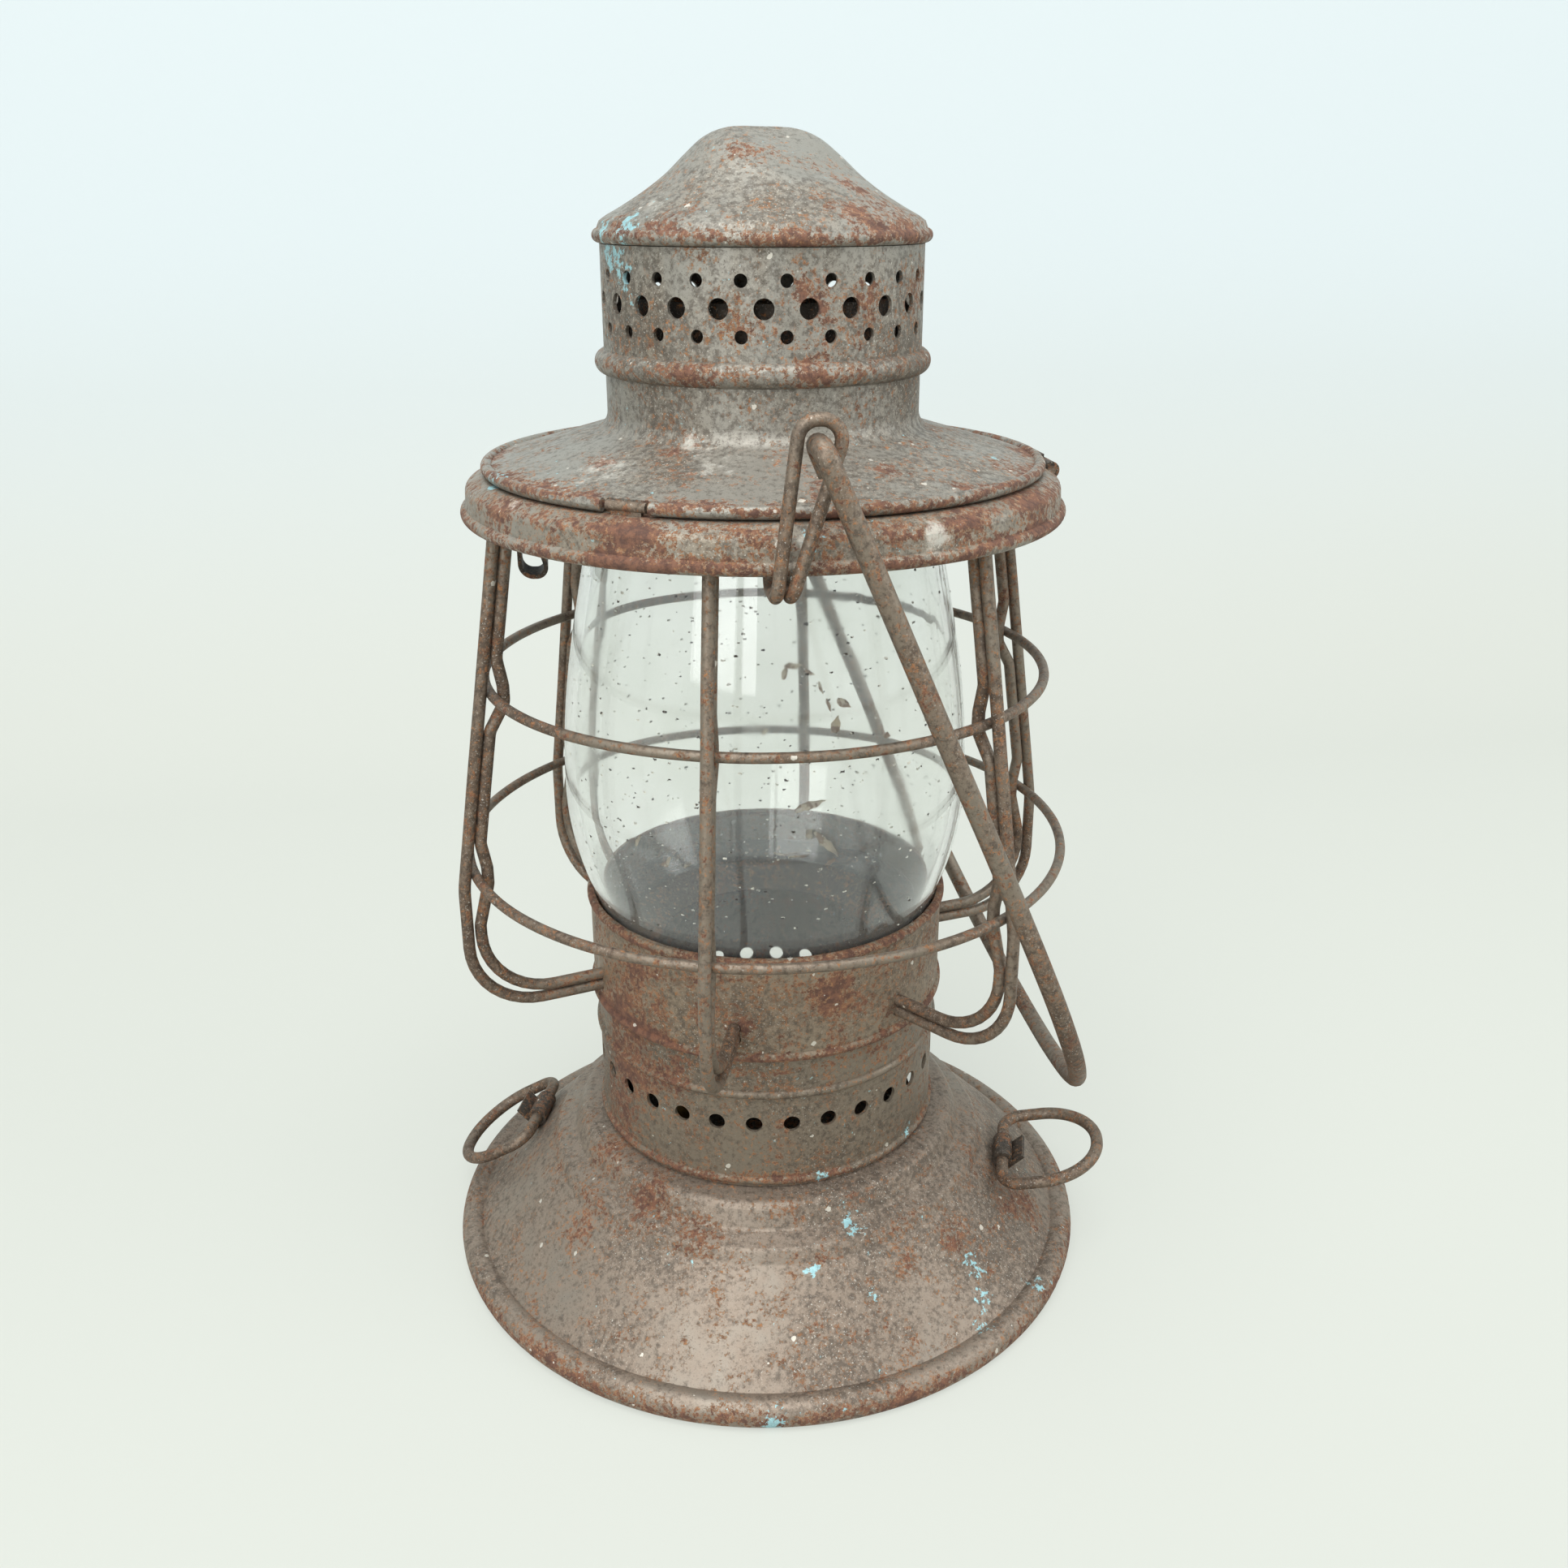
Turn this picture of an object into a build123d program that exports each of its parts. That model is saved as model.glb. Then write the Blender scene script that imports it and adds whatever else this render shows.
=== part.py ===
import math
import os

from build123d import *

# A wire-guarded oil lantern of soldered tin, in millimetres, +Z up.
# The origin is the centre of the foot, on the surface it stands on.
# Azimuths are degrees seen from above: 0 points to -Y, 90 to +X.

# Fits
tin = 0.8                       # wall of the spun and rolled sheet
solder_gap = 0.05               # between two pieces soldered together
part_gap = 0.35                 # between pieces that move past each other
running_gap = 0.06              # radial room of a pin or bar in its eye
drill_reach = 4.0               # how far a cut runs past the wall it opens

# Bell base
base_height = 36.0              # table to the seat of the vent collar
rim_radius = 80.1
rim_roll_radius = 3.5
rim_flat_depth = 0.5            # the roll is flattened this much where it stands
bell_ring_radius = 49.2
bell_ring_drop = 6.6
bell_step_radius = 53.8
bell_step_drop = 8.6
skirt_top_radius = 55.3
skirt_top_drop = 11.4
base_flange_height = 5.0
bell_brow_width = 2.4           # from the edge of the flat top out to the bell ring
bell_brow_drop = 0.8
bell_bends = [2.2, 1.6, 1.5, 2.0, 1.0]
rim_start_inset = 0.6           # where the skirt meets the roll, in roll radii
rim_start_rise = 0.75

# Vent collar
vent_radius = 41.7
vent_height = 37.0
vent_bead_bulge = 0.8
vent_bead_radius = 1.1
vent_bead_height = 25.0
foot_bead_height = 1.6
air_hole_diameter = 3.9
air_hole_count = 30
air_hole_height = 17.1

# Globe collar
collar_lap = 2.7                # how far it slides over the vent collar
collar_height = 26.0
collar_bead_radius = 1.15
seat_depth = 11.5               # collar rim to the globe's lower edge
seat_bore_radius = 27.0
seat_dish = 4.8
seat_flange_height = 3.0
seat_bends = [0.9, 1.5]

# Globe
globe_length = 111.2
globe_end_radius = 36.5
globe_belly_radius = 46.9
globe_belly_height = 38.5
globe_wall = 2.5
globe_foot_flare = 0.42         # how far the side leans out for each step up
globe_mouth_flare = -0.17

# Top band of the frame
band_drop = 0.4                 # flange face below the globe's upper edge
band_flange_radius = 52.4
band_shoulder_radius = 60.6
band_skirt_radius = 64.25
band_skirt_drop = 1.9
band_rim_drop = 7.6
band_rim_roll = 1.4
band_bends = [2.0, 1.5]

# Cage
guard_count = 6
guard_azimuth = -17.5
guard_shifts = {1: -5.0, 5: 2.5}  # guards that stand off the even spacing
guard_wire = 2.7
guard_foot_height = 5.7         # outer foot above the collar's lower edge
guard_bend_radius = 16.0
guard_kink_radius = 5.0
guard_kink_length = 4.0
guard_knee_radius = 30.0
guard_ring_wire = 2.25
guard_root_inset = 5.15         # root of an outer wire inside the skirt of the top band
upper_ring_drop = 44.4          # below the flange face
lower_ring_radius = 70.0
lower_ring_drop = 86.2

# Lid
lid_gap = 0.3
brim_radius = 59.5
brim_rise = 8.6
neck_radius = 33.4
neck_height = 14.6
brim_flare_radius = 4.0
brim_edge_radius = 0.6
brim_edge_draft = 0.1
brim_edge_rise = 0.4
seam_bead_radius = 1.25
chimney_radius = 33.6
chimney_height = 25.6
chimney_bead_radius = 2.5
chimney_bead_bulge = 2.0
chimney_hole_count = 24
chimney_hole_azimuth = -7.5
small_hole_diameter = 2.6
large_hole_diameter = 4.0
large_hole_height = 14.7
small_hole_spacing = 5.1
dome_height = 22.0
dome_top_radius = 8.0
dome_waist_radius = 20.0
dome_waist_height = 12.9
dome_eave_radius = 33.0
dome_eave_height = 4.8
dome_rim_radius = 35.1
dome_rim_roll = 1.4
dome_top_fall = -0.25           # slope of the dome where it leaves the flat top
dome_eave_fall = -0.3
tube_radius = 28.0
tube_top_height = 35.4          # above the flange face
crown_radius = 46.0
crown_gap = 0.4                 # crown floor above the globe's upper edge
crown_bend = 1.2

# Lid hinge, on +X
hinge_radius = 62.3
hinge_drop = 1.1                # pin axis below the flange face
knuckle_radius = 1.9
hinge_pin_radius = 1.0
lid_knuckle_length = 8.0
frame_knuckle_length = 4.8
hinge_notch_room = 0.3
bracket_depth = 4.0
knuckle_web_drop = 1.0
knuckle_web_rise = 0.2
pin_overhang = 0.2
leaf_thickness = 1.2
leaf_knuckle_lap = 0.4          # how deep the leaf runs into its knuckle
leaf_reach = 5.0

# Lid locating lug and the slot that drops over it
lug_azimuth = -33.2
lug_radius = 59.0
lug_wire = 2.0
lug_length = 8.4
lug_rise = 1.6
slot_room = 0.9

# Lid latch, on -X
latch_width = 8.0
latch_strip = 0.9
latch_pin_radius = 1.0
latch_knuckle_radius = 2.0
latch_pin_place = 55.4
latch_pin_drop = 4.2
latch_loop_drop = 22.0
latch_loop_radius = 2.9
keeper_place = 49.8
keeper_reach = 3.2
latch_ear = 0.9
latch_ear_half = 1.9
latch_notch_room = 1.0
latch_pin_head = 0.8
latch_bend = 1.5

# Bail and its ears
bail_wire = 4.1
bail_hang_angle = 23.8          # degrees from straight down, towards +X
bail_leg = 106.0
bail_hook = 6.0
ear_wire = 2.5
ear_radius = 69.3
ear_lean = -6.0                 # sideways place of an ear's root
ear_eye_height = 15.0           # pivot above the flange face
ear_eye_half_width = 3.9
ear_eye_rise = 4.4
ear_root_drop = 12.0
ear_anchor_inset = 9.3
ear_anchor_rise = 8.8
ear_leg_gap = 0.2
ear_play = 0.45
ear_bend = 2.5
ear_eye_bend = 3.6
hook_bend_share = 0.6           # bend of the bail's hooks, in wire diameters

# D-shaped rings on the skirt
ring_wire = 3.0
ring_width = 29.0
ring_depth = 24.0
ring_corner_radius = 5.0
ring_bar_share = 0.32           # place of the bar down the skirt, top to foot
ring_strap_length = 9.0
ring_strap_wall = 0.9
ring_plate_sink = 0.3           # trimmed to the skirt
ring_plate_rise = 0.6
ring_split = 0.4
ring_azimuths = {"right": 72.5, "left": -107.5}
ring_tilts = {"right": 13.0, "left": -31.0}

# Oil fount and burner
fount_radius = 37.5
fount_floor = 3.0
fount_seam_height = 28.0
fount_shoulder_height = 40.0
fount_neck_radius = 15.0
fount_neck_height = 45.0
fount_lug_height = 22.0
fount_lug_reach = 3.2
fount_lug_width = 6.0
fount_lug_count = 3
fount_lug_azimuth = 20.0
fount_bend = 3.0
fount_neck_bend = 1.5
fount_shoulder_fall = 4.0
clip_wall = 1.0
clip_foot = 2.6
clip_top_gap = 1.0
filler_radius = 5.5
filler_place = 26.0
filler_azimuth = -60.0
filler_lip = 1.0
filler_height = 6.0
deck_radius = 17.5
deck_height = 1.6
deck_hole_diameter = 3.0
deck_hole_count = 8
deck_hole_place = 12.25
burner_collar_wall = 1.6
wick_width = 15.0
wick_thickness = 1.6
wick_room = 0.35
wick_tube_wall = 0.5
wick_tube_height = 15.0
wick_tube_depth = 8.0
wick_show = 1.4
wick_foot = 6.0
cone_radius = 15.5
cone_height = 19.5
cone_slot_room = 1.2
cone_slot_depth = 4.0
cone_knee_share = 0.45          # height of the knee, as a share of the cone's height
cone_top_share = 0.72
cone_bend = 3.0
knob_shaft_radius = 0.9
knob_shaft_height = 4.6
knob_radius = 9.0
knob_thickness = 3.0
knob_place = 24.0
sprocket_radius = 2.6
sprocket_half = 3.0
shaft_end = 4.0

# Heights that follow from the stack
collar_foot = base_height + vent_height - collar_lap
collar_top = collar_foot + collar_height
globe_seat = collar_top - seat_depth
globe_top = globe_seat + globe_length
flange = globe_top - band_drop
upper_ring_height = flange - upper_ring_drop
lower_ring_height = flange - lower_ring_drop
lid_edge = flange + lid_gap
brim_top = lid_edge + brim_rise + tin
neck_top = brim_top + neck_height
chimney_foot = neck_top - 2 * chimney_bead_radius + tin
chimney_top = chimney_foot + chimney_height
hinge_height = flange - hinge_drop
ear_eye = flange + ear_eye_height
ear_anchor_radius = ear_radius - ear_anchor_inset
bail_side = ear_radius + ear_wire / 2 + ear_play + bail_wire / 2
bail_inside = ear_radius - ear_wire / 2 - ear_play - bail_wire / 2
collar_radius = vent_radius + solder_gap + tin


def polar(radius, azimuth, height):
    angle = math.radians(azimuth)
    return Vector(radius * math.sin(angle), -radius * math.cos(angle), height)


# A drawing plane whose first direction points outwards and whose second points up.
def radial_plane(azimuth):
    outwards = polar(1, azimuth, 0)
    return Plane(origin=(0, 0, 0), x_dir=outwards, z_dir=outwards.cross(Vector(0, 0, 1)))


def turned(profile):
    return revolve(Plane.XZ * profile, Axis.Z)


# The section of a sheet of even thickness, from its middle line.
def sheet_section(points, radii, wall):
    middle = FilletPolyline(*points, radius=radii)
    return make_face(offset(middle, amount=wall / 2, kind=Kind.ARC, side=Side.BOTH).edges())


def turned_sheet(points, radii, wall=tin):
    return turned(sheet_section(points, radii, wall))


# A turned sheet that is closed at the axis, where its middle line starts or ends.
def turned_cup(points, radii, wall=tin):
    reach = 4 * rim_radius
    outer_half = Pos(reach / 2, 0) * Rectangle(reach, 2 * reach)
    return turned(sheet_section(points, radii, wall) & outer_half)


def turned_outline(points):
    return turned(make_face(Polyline(*points, close=True)))


def tube(outer, bore, low, high):
    return turned_outline([(bore, low), (outer, low), (outer, high), (bore, high)])


def bead(outer, roll, height):
    return Pos(0, 0, height) * Torus(outer - roll, roll)


def rod(start, end, radius):
    line = Line(start, end)
    return Solid.make_cylinder(radius, line.length, Plane(origin=start, z_dir=line % 0))


# A round wire along a path of straight runs and arcs.
def bent_wire(path, diameter):
    section = Plane(origin=path @ 0, z_dir=path % 0) * Circle(diameter / 2)
    return sweep(section, path=path)


def block(low, high):
    size = [b - a for a, b in zip(low, high)]
    middle = [(a + b) / 2 for a, b in zip(low, high)]
    return Pos(*middle) * Box(*size)


def around(count, first, piece):
    return [Rot(0, 0, first + index * 360 / count) * piece for index in range(count)]


# A drill that passes through a wall of the given radius, pointing outwards.
def radial_drill(diameter, azimuth, height, radius):
    near = polar(radius - drill_reach, azimuth, height)
    far = polar(radius + drill_reach, azimuth, height)
    return rod(near, far, diameter / 2)


nodes = {}


# Bell base: a spun foot with two steps, a long skirt and a rolled rim that it stands on.
skirt_top = (skirt_top_radius, base_height - skirt_top_drop)
rim_centre = (rim_radius - rim_roll_radius, rim_roll_radius - rim_flat_depth)
skirt_foot = (
    rim_centre[0] - rim_roll_radius * rim_start_inset,
    rim_centre[1] + rim_roll_radius * rim_start_rise,
)
flange_line = vent_radius - tin - solder_gap - tin / 2
base_shell = turned_sheet(
    [
        (flange_line, base_height + base_flange_height),
        (flange_line, base_height - tin / 2),
        (bell_ring_radius - bell_brow_width, base_height - tin / 2 - bell_brow_drop),
        (bell_ring_radius, base_height - bell_ring_drop),
        (bell_step_radius, base_height - bell_step_drop),
        skirt_top,
        skirt_foot,
        rim_centre,
    ],
    [tin / 2 + solder_gap, *bell_bends],
)
rim_roll = Pos(0, 0, rim_centre[1]) * Torus(rim_centre[0], rim_roll_radius)
under_floor = Pos(0, 0, -rim_roll_radius) * Cylinder(rim_radius * 1.2, 2 * rim_roll_radius)
nodes["bell_base"] = base_shell + rim_roll - under_floor

# Vent collar: a plain tube with two beads and a row of air holes.
vent_top = base_height + vent_height
vent_wall = tube(vent_radius, vent_radius - tin, base_height, vent_top)
vent_bore = tube(vent_radius - tin, 0, base_height - tin, vent_top + tin)
for height in (foot_bead_height, vent_bead_height):
    vent_wall += bead(vent_radius + vent_bead_bulge, vent_bead_radius, base_height + height) - vent_bore
air_hole = radial_drill(air_hole_diameter, 0, base_height + air_hole_height, vent_radius)
nodes["vent_collar"] = vent_wall - around(air_hole_count, 0, air_hole)

# Guards: each a straight outer wire and an inner wire kinked round the two rings.
wire_step = (guard_ring_wire + guard_wire) / 2 + solder_gap
pair_step = guard_wire + solder_gap
outer_low = lower_ring_radius + wire_step
guard_root = band_skirt_radius - guard_root_inset
guard_top = flange - tin - guard_wire / 8
guard_slope = (outer_low - guard_root) / (guard_top - lower_ring_height)
outer_foot = collar_foot + guard_foot_height
inner_foot = outer_foot + guard_wire + 3 * solder_gap
foot_end = collar_radius - tin - guard_wire / 4


def outer_line(height):
    return guard_root + guard_slope * (guard_top - height)


def kink(ring_radius, ring_height):
    inside = ring_radius - wire_step
    reach = 2 * guard_kink_length
    half = guard_kink_length / 2
    return [
        (outer_line(ring_height + reach) - pair_step, ring_height + reach),
        (inside, ring_height + half),
        (inside + solder_gap / 5, ring_height - half),
        (outer_line(ring_height - reach) - pair_step, ring_height - reach),
    ]


outer_run = [
    (outer_line(guard_top), guard_top),
    (outer_line(lower_ring_height - guard_wire), lower_ring_height - guard_wire),
    (outer_low + guard_wire / 4, outer_foot),
    (foot_end, outer_foot),
]
upper_ring_radius = outer_line(upper_ring_height) - wire_step
upper_kink = kink(upper_ring_radius, upper_ring_height)
lower_kink = kink(lower_ring_radius, lower_ring_height)
inner_side = outer_line(lower_ring_height - guard_wire) - pair_step - 2 * solder_gap
inner_run = [
    (outer_line(guard_top) - pair_step, guard_top),
    *upper_kink,
    *lower_kink[:3],
    (inner_side, lower_ring_height - 3 * guard_kink_length),
    (inner_side - solder_gap, inner_foot),
    (foot_end, inner_foot),
]
outer_radii = [guard_knee_radius, guard_bend_radius]
inner_radii = [guard_kink_radius] * 8 + [guard_bend_radius]
collar_holes = []
for index in range(guard_count):
    azimuth = guard_azimuth + index * 360 / guard_count + guard_shifts.get(index, 0)
    plane = radial_plane(azimuth)
    outer_path = plane * FilletPolyline(*outer_run, radius=outer_radii)
    inner_path = plane * FilletPolyline(*inner_run, radius=inner_radii)
    nodes[f"guard_outer_{index + 1}"] = bent_wire(Wire(outer_path.edges()), guard_wire)
    nodes[f"guard_inner_{index + 1}"] = bent_wire(Wire(inner_path.edges()), guard_wire)
    for height in (outer_foot, inner_foot):
        hole = guard_wire + 2 * solder_gap
        collar_holes.append(radial_drill(hole, azimuth, height, collar_radius))

nodes["upper_guard_ring"] = Pos(0, 0, upper_ring_height) * Torus(upper_ring_radius, guard_ring_wire / 2)
nodes["lower_guard_ring"] = Pos(0, 0, lower_ring_height) * Torus(lower_ring_radius, guard_ring_wire / 2)

# Globe collar: slides over the vent collar, takes the guards' feet and ends in a rolled rim.
collar_bore = tube(collar_radius - tin, 0, collar_foot - tin, collar_top + tin)
collar_wall = tube(collar_radius, collar_radius - tin, collar_foot, collar_top)
for height in (collar_foot + collar_bead_radius, collar_top - collar_bead_radius):
    collar_wall += bead(collar_radius + tin, collar_bead_radius, height) - collar_bore
nodes["globe_collar"] = collar_wall - collar_holes

# Globe seat: a dished ring soldered inside the globe collar.
seat_flange = collar_radius - tin - solder_gap - tin / 2
seat_line = globe_seat - tin / 2
nodes["globe_seat"] = turned_sheet(
    [
        (seat_flange, seat_line + seat_flange_height),
        (seat_flange, seat_line),
        (globe_end_radius - globe_wall - tin, seat_line),
        (seat_bore_radius, seat_line - seat_dish),
    ],
    seat_bends,
)

# Globe: blown glass, widest below its middle.
belly = globe_seat + globe_belly_height


def globe_side(inset):
    return Spline(
        (globe_end_radius - inset, globe_seat),
        (globe_belly_radius - inset, belly),
        (globe_end_radius - inset, globe_top),
        tangents=[(globe_foot_flare, 1), (0, 1), (globe_mouth_flare, 1)],
    )


globe_outside = globe_side(0)
globe_inside = globe_side(globe_wall)
globe_ends = [Line(globe_outside @ end, globe_inside @ end) for end in (0, 1)]
nodes["globe"] = turned(make_face([globe_outside, globe_inside, *globe_ends]))

# Top band: flange, rounded shoulder and rolled rim, notched for the hinge and the latch.
band_line = flange - tin / 2
band_rim = flange - band_rim_drop
band_shell = turned_sheet(
    [
        (band_flange_radius, band_line),
        (band_shoulder_radius, band_line),
        (band_skirt_radius - tin / 2, flange - band_skirt_drop - tin / 2),
        (band_skirt_radius, band_rim),
    ],
    band_bends,
)
band_shell += Pos(0, 0, band_rim) * Torus(band_skirt_radius, band_rim_roll)
hinge_half = lid_knuckle_length / 2 + 2 * hinge_notch_room + frame_knuckle_length
notch_inner = hinge_radius - knuckle_radius - 2 * hinge_notch_room
hinge_notch = block(
    (notch_inner, -hinge_half - hinge_notch_room, hinge_height - knuckle_radius - hinge_notch_room),
    (band_skirt_radius + drill_reach, hinge_half + hinge_notch_room, flange + drill_reach),
)
latch_half = latch_width / 2
latch_notch = block(
    (-latch_pin_place - latch_strip - latch_notch_room, -latch_half - latch_notch_room, flange - 2 * tin),
    (-band_flange_radius + 2 * latch_notch_room, latch_half + latch_notch_room, flange + tin),
)
nodes["top_band"] = band_shell - hinge_notch - latch_notch

# Lid locating lug: a short wire on a web, standing on the flange in the brim's slot.
lug_half = lug_length / 2
lug_line = flange + lug_rise
lug_ends = [Vector(-lug_half, -lug_radius, lug_line), Vector(lug_half, -lug_radius, lug_line)]
lug_web = block(
    (-lug_half + lug_wire / 2, -lug_radius - lug_wire / 4, flange),
    (lug_half - lug_wire / 2, -lug_radius + lug_wire / 4, lug_line),
)
nodes["lid_lug"] = Rot(0, 0, lug_azimuth) * (rod(*lug_ends, lug_wire / 2) + lug_web)

# Hinge bracket: an upright leaf behind the notch with a knuckle at each end.
leaf_outer = notch_inner - solder_gap
bracket = block(
    (leaf_outer - tin, -hinge_half, hinge_height - bracket_depth),
    (leaf_outer, hinge_half, flange - tin - solder_gap),
)
knuckle_start = lid_knuckle_length / 2 + hinge_notch_room
for side in (-1, 1):
    ends = sorted((side * knuckle_start, side * hinge_half))
    bracket += block(
        (leaf_outer - tin, ends[0], hinge_height - knuckle_web_drop),
        (hinge_radius, ends[1], hinge_height + knuckle_web_rise),
    )
    bracket += rod(
        (hinge_radius, ends[0], hinge_height), (hinge_radius, ends[1], hinge_height), knuckle_radius
    )
pin_reach = hinge_half + pin_overhang
pin_ends = [(hinge_radius, -pin_reach, hinge_height), (hinge_radius, pin_reach, hinge_height)]
nodes["hinge_bracket"] = bracket - rod(*pin_ends, hinge_pin_radius + solder_gap)
nodes["hinge_pin"] = rod(*pin_ends, hinge_pin_radius)

# Brim: one spun sheet from the neck over the flare to the turned-down edge.
neck_line = neck_radius - tin / 2
brim_line = brim_top - tin / 2
edge_line = brim_line - brim_rise
brim_edge = brim_radius - brim_edge_draft
brim_edge_line = edge_line + tin / 2 + brim_edge_rise
brim_shell = turned_sheet(
    [
        (neck_line, neck_top),
        (neck_line, brim_line),
        (brim_edge, brim_edge_line),
        (brim_radius, lid_edge + tin / 2),
    ],
    [brim_flare_radius, brim_edge_radius],
)
brim_slope = (brim_line - brim_edge_line) / (brim_edge - neck_line)


def brim_underside(radius):
    middle = brim_line - (radius - neck_line) * brim_slope
    return middle - tin / 2 * math.hypot(1, brim_slope)


brim_shell += bead(brim_radius + seam_bead_radius, seam_bead_radius, lid_edge + seam_bead_radius + tin / 8)
lug_slot = Rot(0, 0, lug_azimuth) * block(
    (-lug_half - slot_room, -lug_radius - lug_wire / 2 - slot_room, flange),
    (lug_half + slot_room, -lug_radius + lug_wire / 2 + slot_room, flange + 4 * lug_wire),
)
leaf_half = lid_knuckle_length / 2
leaf_low = hinge_height + knuckle_radius - leaf_knuckle_lap
leaf_high = leaf_low + leaf_thickness
leaf_slot = block(
    (brim_radius - 3 * tin, -leaf_half - solder_gap, flange),
    (hinge_radius, leaf_half + solder_gap, leaf_high + solder_gap),
)
nodes["brim"] = brim_shell - lug_slot - leaf_slot

# Hinge leaf of the lid: a strap under the brim that ends in the middle knuckle.
knuckle_ends = [(hinge_radius, -leaf_half, hinge_height), (hinge_radius, leaf_half, hinge_height)]
lid_leaf = block((brim_radius - leaf_reach, -leaf_half, leaf_low), (hinge_radius, leaf_half, leaf_high))
lid_leaf += rod(*knuckle_ends, knuckle_radius)
nodes["lid_hinge_leaf"] = lid_leaf - rod(*pin_ends, hinge_pin_radius + running_gap)

# Vent band of the chimney: a tube with three rows of holes, its lower bead round the neck.
bead_height = chimney_foot + chimney_bead_radius
bead_bore = tube(neck_radius + solder_gap, 0, chimney_foot - tin, neck_top + tin / 2 + solder_gap)
chimney_bore = tube(chimney_radius - tin, 0, chimney_foot - tin, chimney_top + tin)
chimney_wall = tube(chimney_radius, 0, bead_height, chimney_top)
chimney_wall += bead(chimney_radius + chimney_bead_bulge, chimney_bead_radius, bead_height)
chimney_wall = chimney_wall - chimney_bore - bead_bore
pitch = 360 / chimney_hole_count
rows = [
    (large_hole_diameter, 0, 0),
    (small_hole_diameter, pitch / 2, small_hole_spacing),
    (small_hole_diameter, pitch / 2, -small_hole_spacing),
]
chimney_holes = []
for diameter, turn, rise in rows:
    height = chimney_foot + large_hole_height + rise
    hole = radial_drill(diameter, turn + chimney_hole_azimuth, height, chimney_radius)
    chimney_holes += around(chimney_hole_count, 0, hole)
nodes["vent_band"] = chimney_wall - chimney_holes

# Smoke dome: an ogee cap with a rolled rim that sits on the vent band.
dome_foot = chimney_top + solder_gap
dome_outside = [
    (0, dome_foot + dome_height),
    (dome_top_radius, dome_foot + dome_height),
    (dome_waist_radius, dome_foot + dome_waist_height),
    (dome_eave_radius, dome_foot + dome_eave_height),
    (dome_rim_radius - dome_rim_roll, dome_foot + dome_rim_roll),
]
dome_curve = Spline(*dome_outside[1:4], tangents=[(1, dome_top_fall), (1, dome_eave_fall)])
dome_section = [
    Line(dome_outside[0], dome_outside[1]),
    dome_curve,
    Line(dome_outside[3], dome_outside[4]),
]
dome_inner_curve = Spline(
    *[(radius - tin / 2, height - tin) for radius, height in dome_outside[1:4]],
    tangents=[(1, dome_top_fall), (1, dome_eave_fall)],
)
dome_wall = [
    *dome_section,
    Line(dome_outside[4], (chimney_radius - tin, dome_foot)),
    Line((chimney_radius - tin, dome_foot), dome_inner_curve @ 1),
    dome_inner_curve,
    Line(dome_inner_curve @ 0, (0, dome_foot + dome_height - tin)),
    Line((0, dome_foot + dome_height - tin), dome_outside[0]),
]
dome_rim = bead(dome_rim_radius, dome_rim_roll, dome_foot + dome_rim_roll)
nodes["smoke_dome"] = turned(make_face(dome_wall)) + dome_rim

# Draft tube and globe crown: the inner chimney and the pan that caps the globe.
crown_floor = globe_top + crown_gap
tube_top = flange + tube_top_height
nodes["draft_tube"] = tube(tube_radius, tube_radius - tin, crown_floor + tin + solder_gap, tube_top)
crown_line = crown_floor + tin / 2
crown_wall = crown_radius - tin / 2
nodes["globe_crown"] = turned_sheet(
    [
        (tube_radius - 2 * tin, crown_line),
        (crown_wall, crown_line),
        (crown_wall, brim_underside(crown_radius) - tin),
    ],
    [crown_bend],
)

# Latch keeper: a tab that hangs from the brim's underside.
keeper_top = brim_underside(keeper_place + tin) - solder_gap
nodes["latch_keeper"] = block(
    (-keeper_place - tin / 2, -latch_half, keeper_top - keeper_reach),
    (-keeper_place + tin / 2, latch_half, keeper_top),
)

# Latch spring: a strip on a cross pin, its nose against the keeper and its thumb loop below.
latch_height = flange - latch_pin_drop
nose_place = keeper_place + tin / 2 + part_gap + latch_strip / 2
nose_height = keeper_top - keeper_reach * 2 / 3
latch_pin_ends = [
    (-latch_pin_place, -latch_half - latch_ear - latch_pin_head, latch_height),
    (-latch_pin_place, latch_half + latch_ear + latch_pin_head, latch_height),
]
loop_foot = flange - latch_loop_drop
shank = latch_pin_place - latch_knuckle_radius + latch_strip / 2
latch_section = sheet_section(
    [
        (-nose_place, nose_height),
        (-shank, flange - tin),
        (-shank + solder_gap, loop_foot),
        (-shank + 2 * latch_loop_radius + latch_strip / 2, loop_foot),
        (-shank + latch_loop_radius, loop_foot + 4 * latch_loop_radius),
    ],
    [latch_bend, latch_loop_radius, latch_loop_radius - latch_strip],
    latch_strip,
)
latch_solid = extrude(Plane.XZ * latch_section, amount=latch_half, both=True)
latch_barrel = rod(
    (-latch_pin_place, -latch_half, latch_height),
    (-latch_pin_place, latch_half, latch_height),
    latch_knuckle_radius,
)
nodes["latch_spring"] = latch_solid + latch_barrel - rod(*latch_pin_ends, latch_pin_radius + running_gap)
nodes["latch_pin"] = rod(*latch_pin_ends, latch_pin_radius)
ear_inner = latch_half + lid_gap
latch_bracket = []
for side in (-1, 1):
    ends = sorted((side * ear_inner, side * (ear_inner + latch_ear)))
    ear = block(
        (-latch_pin_place - latch_ear_half, ends[0], latch_height - latch_ear_half),
        (-latch_pin_place + latch_ear_half, ends[1], flange - tin - solder_gap),
    )
    latch_bracket.append(ear - rod(*latch_pin_ends, latch_pin_radius + solder_gap))
nodes["latch_bracket"] = Compound(latch_bracket)

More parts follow.
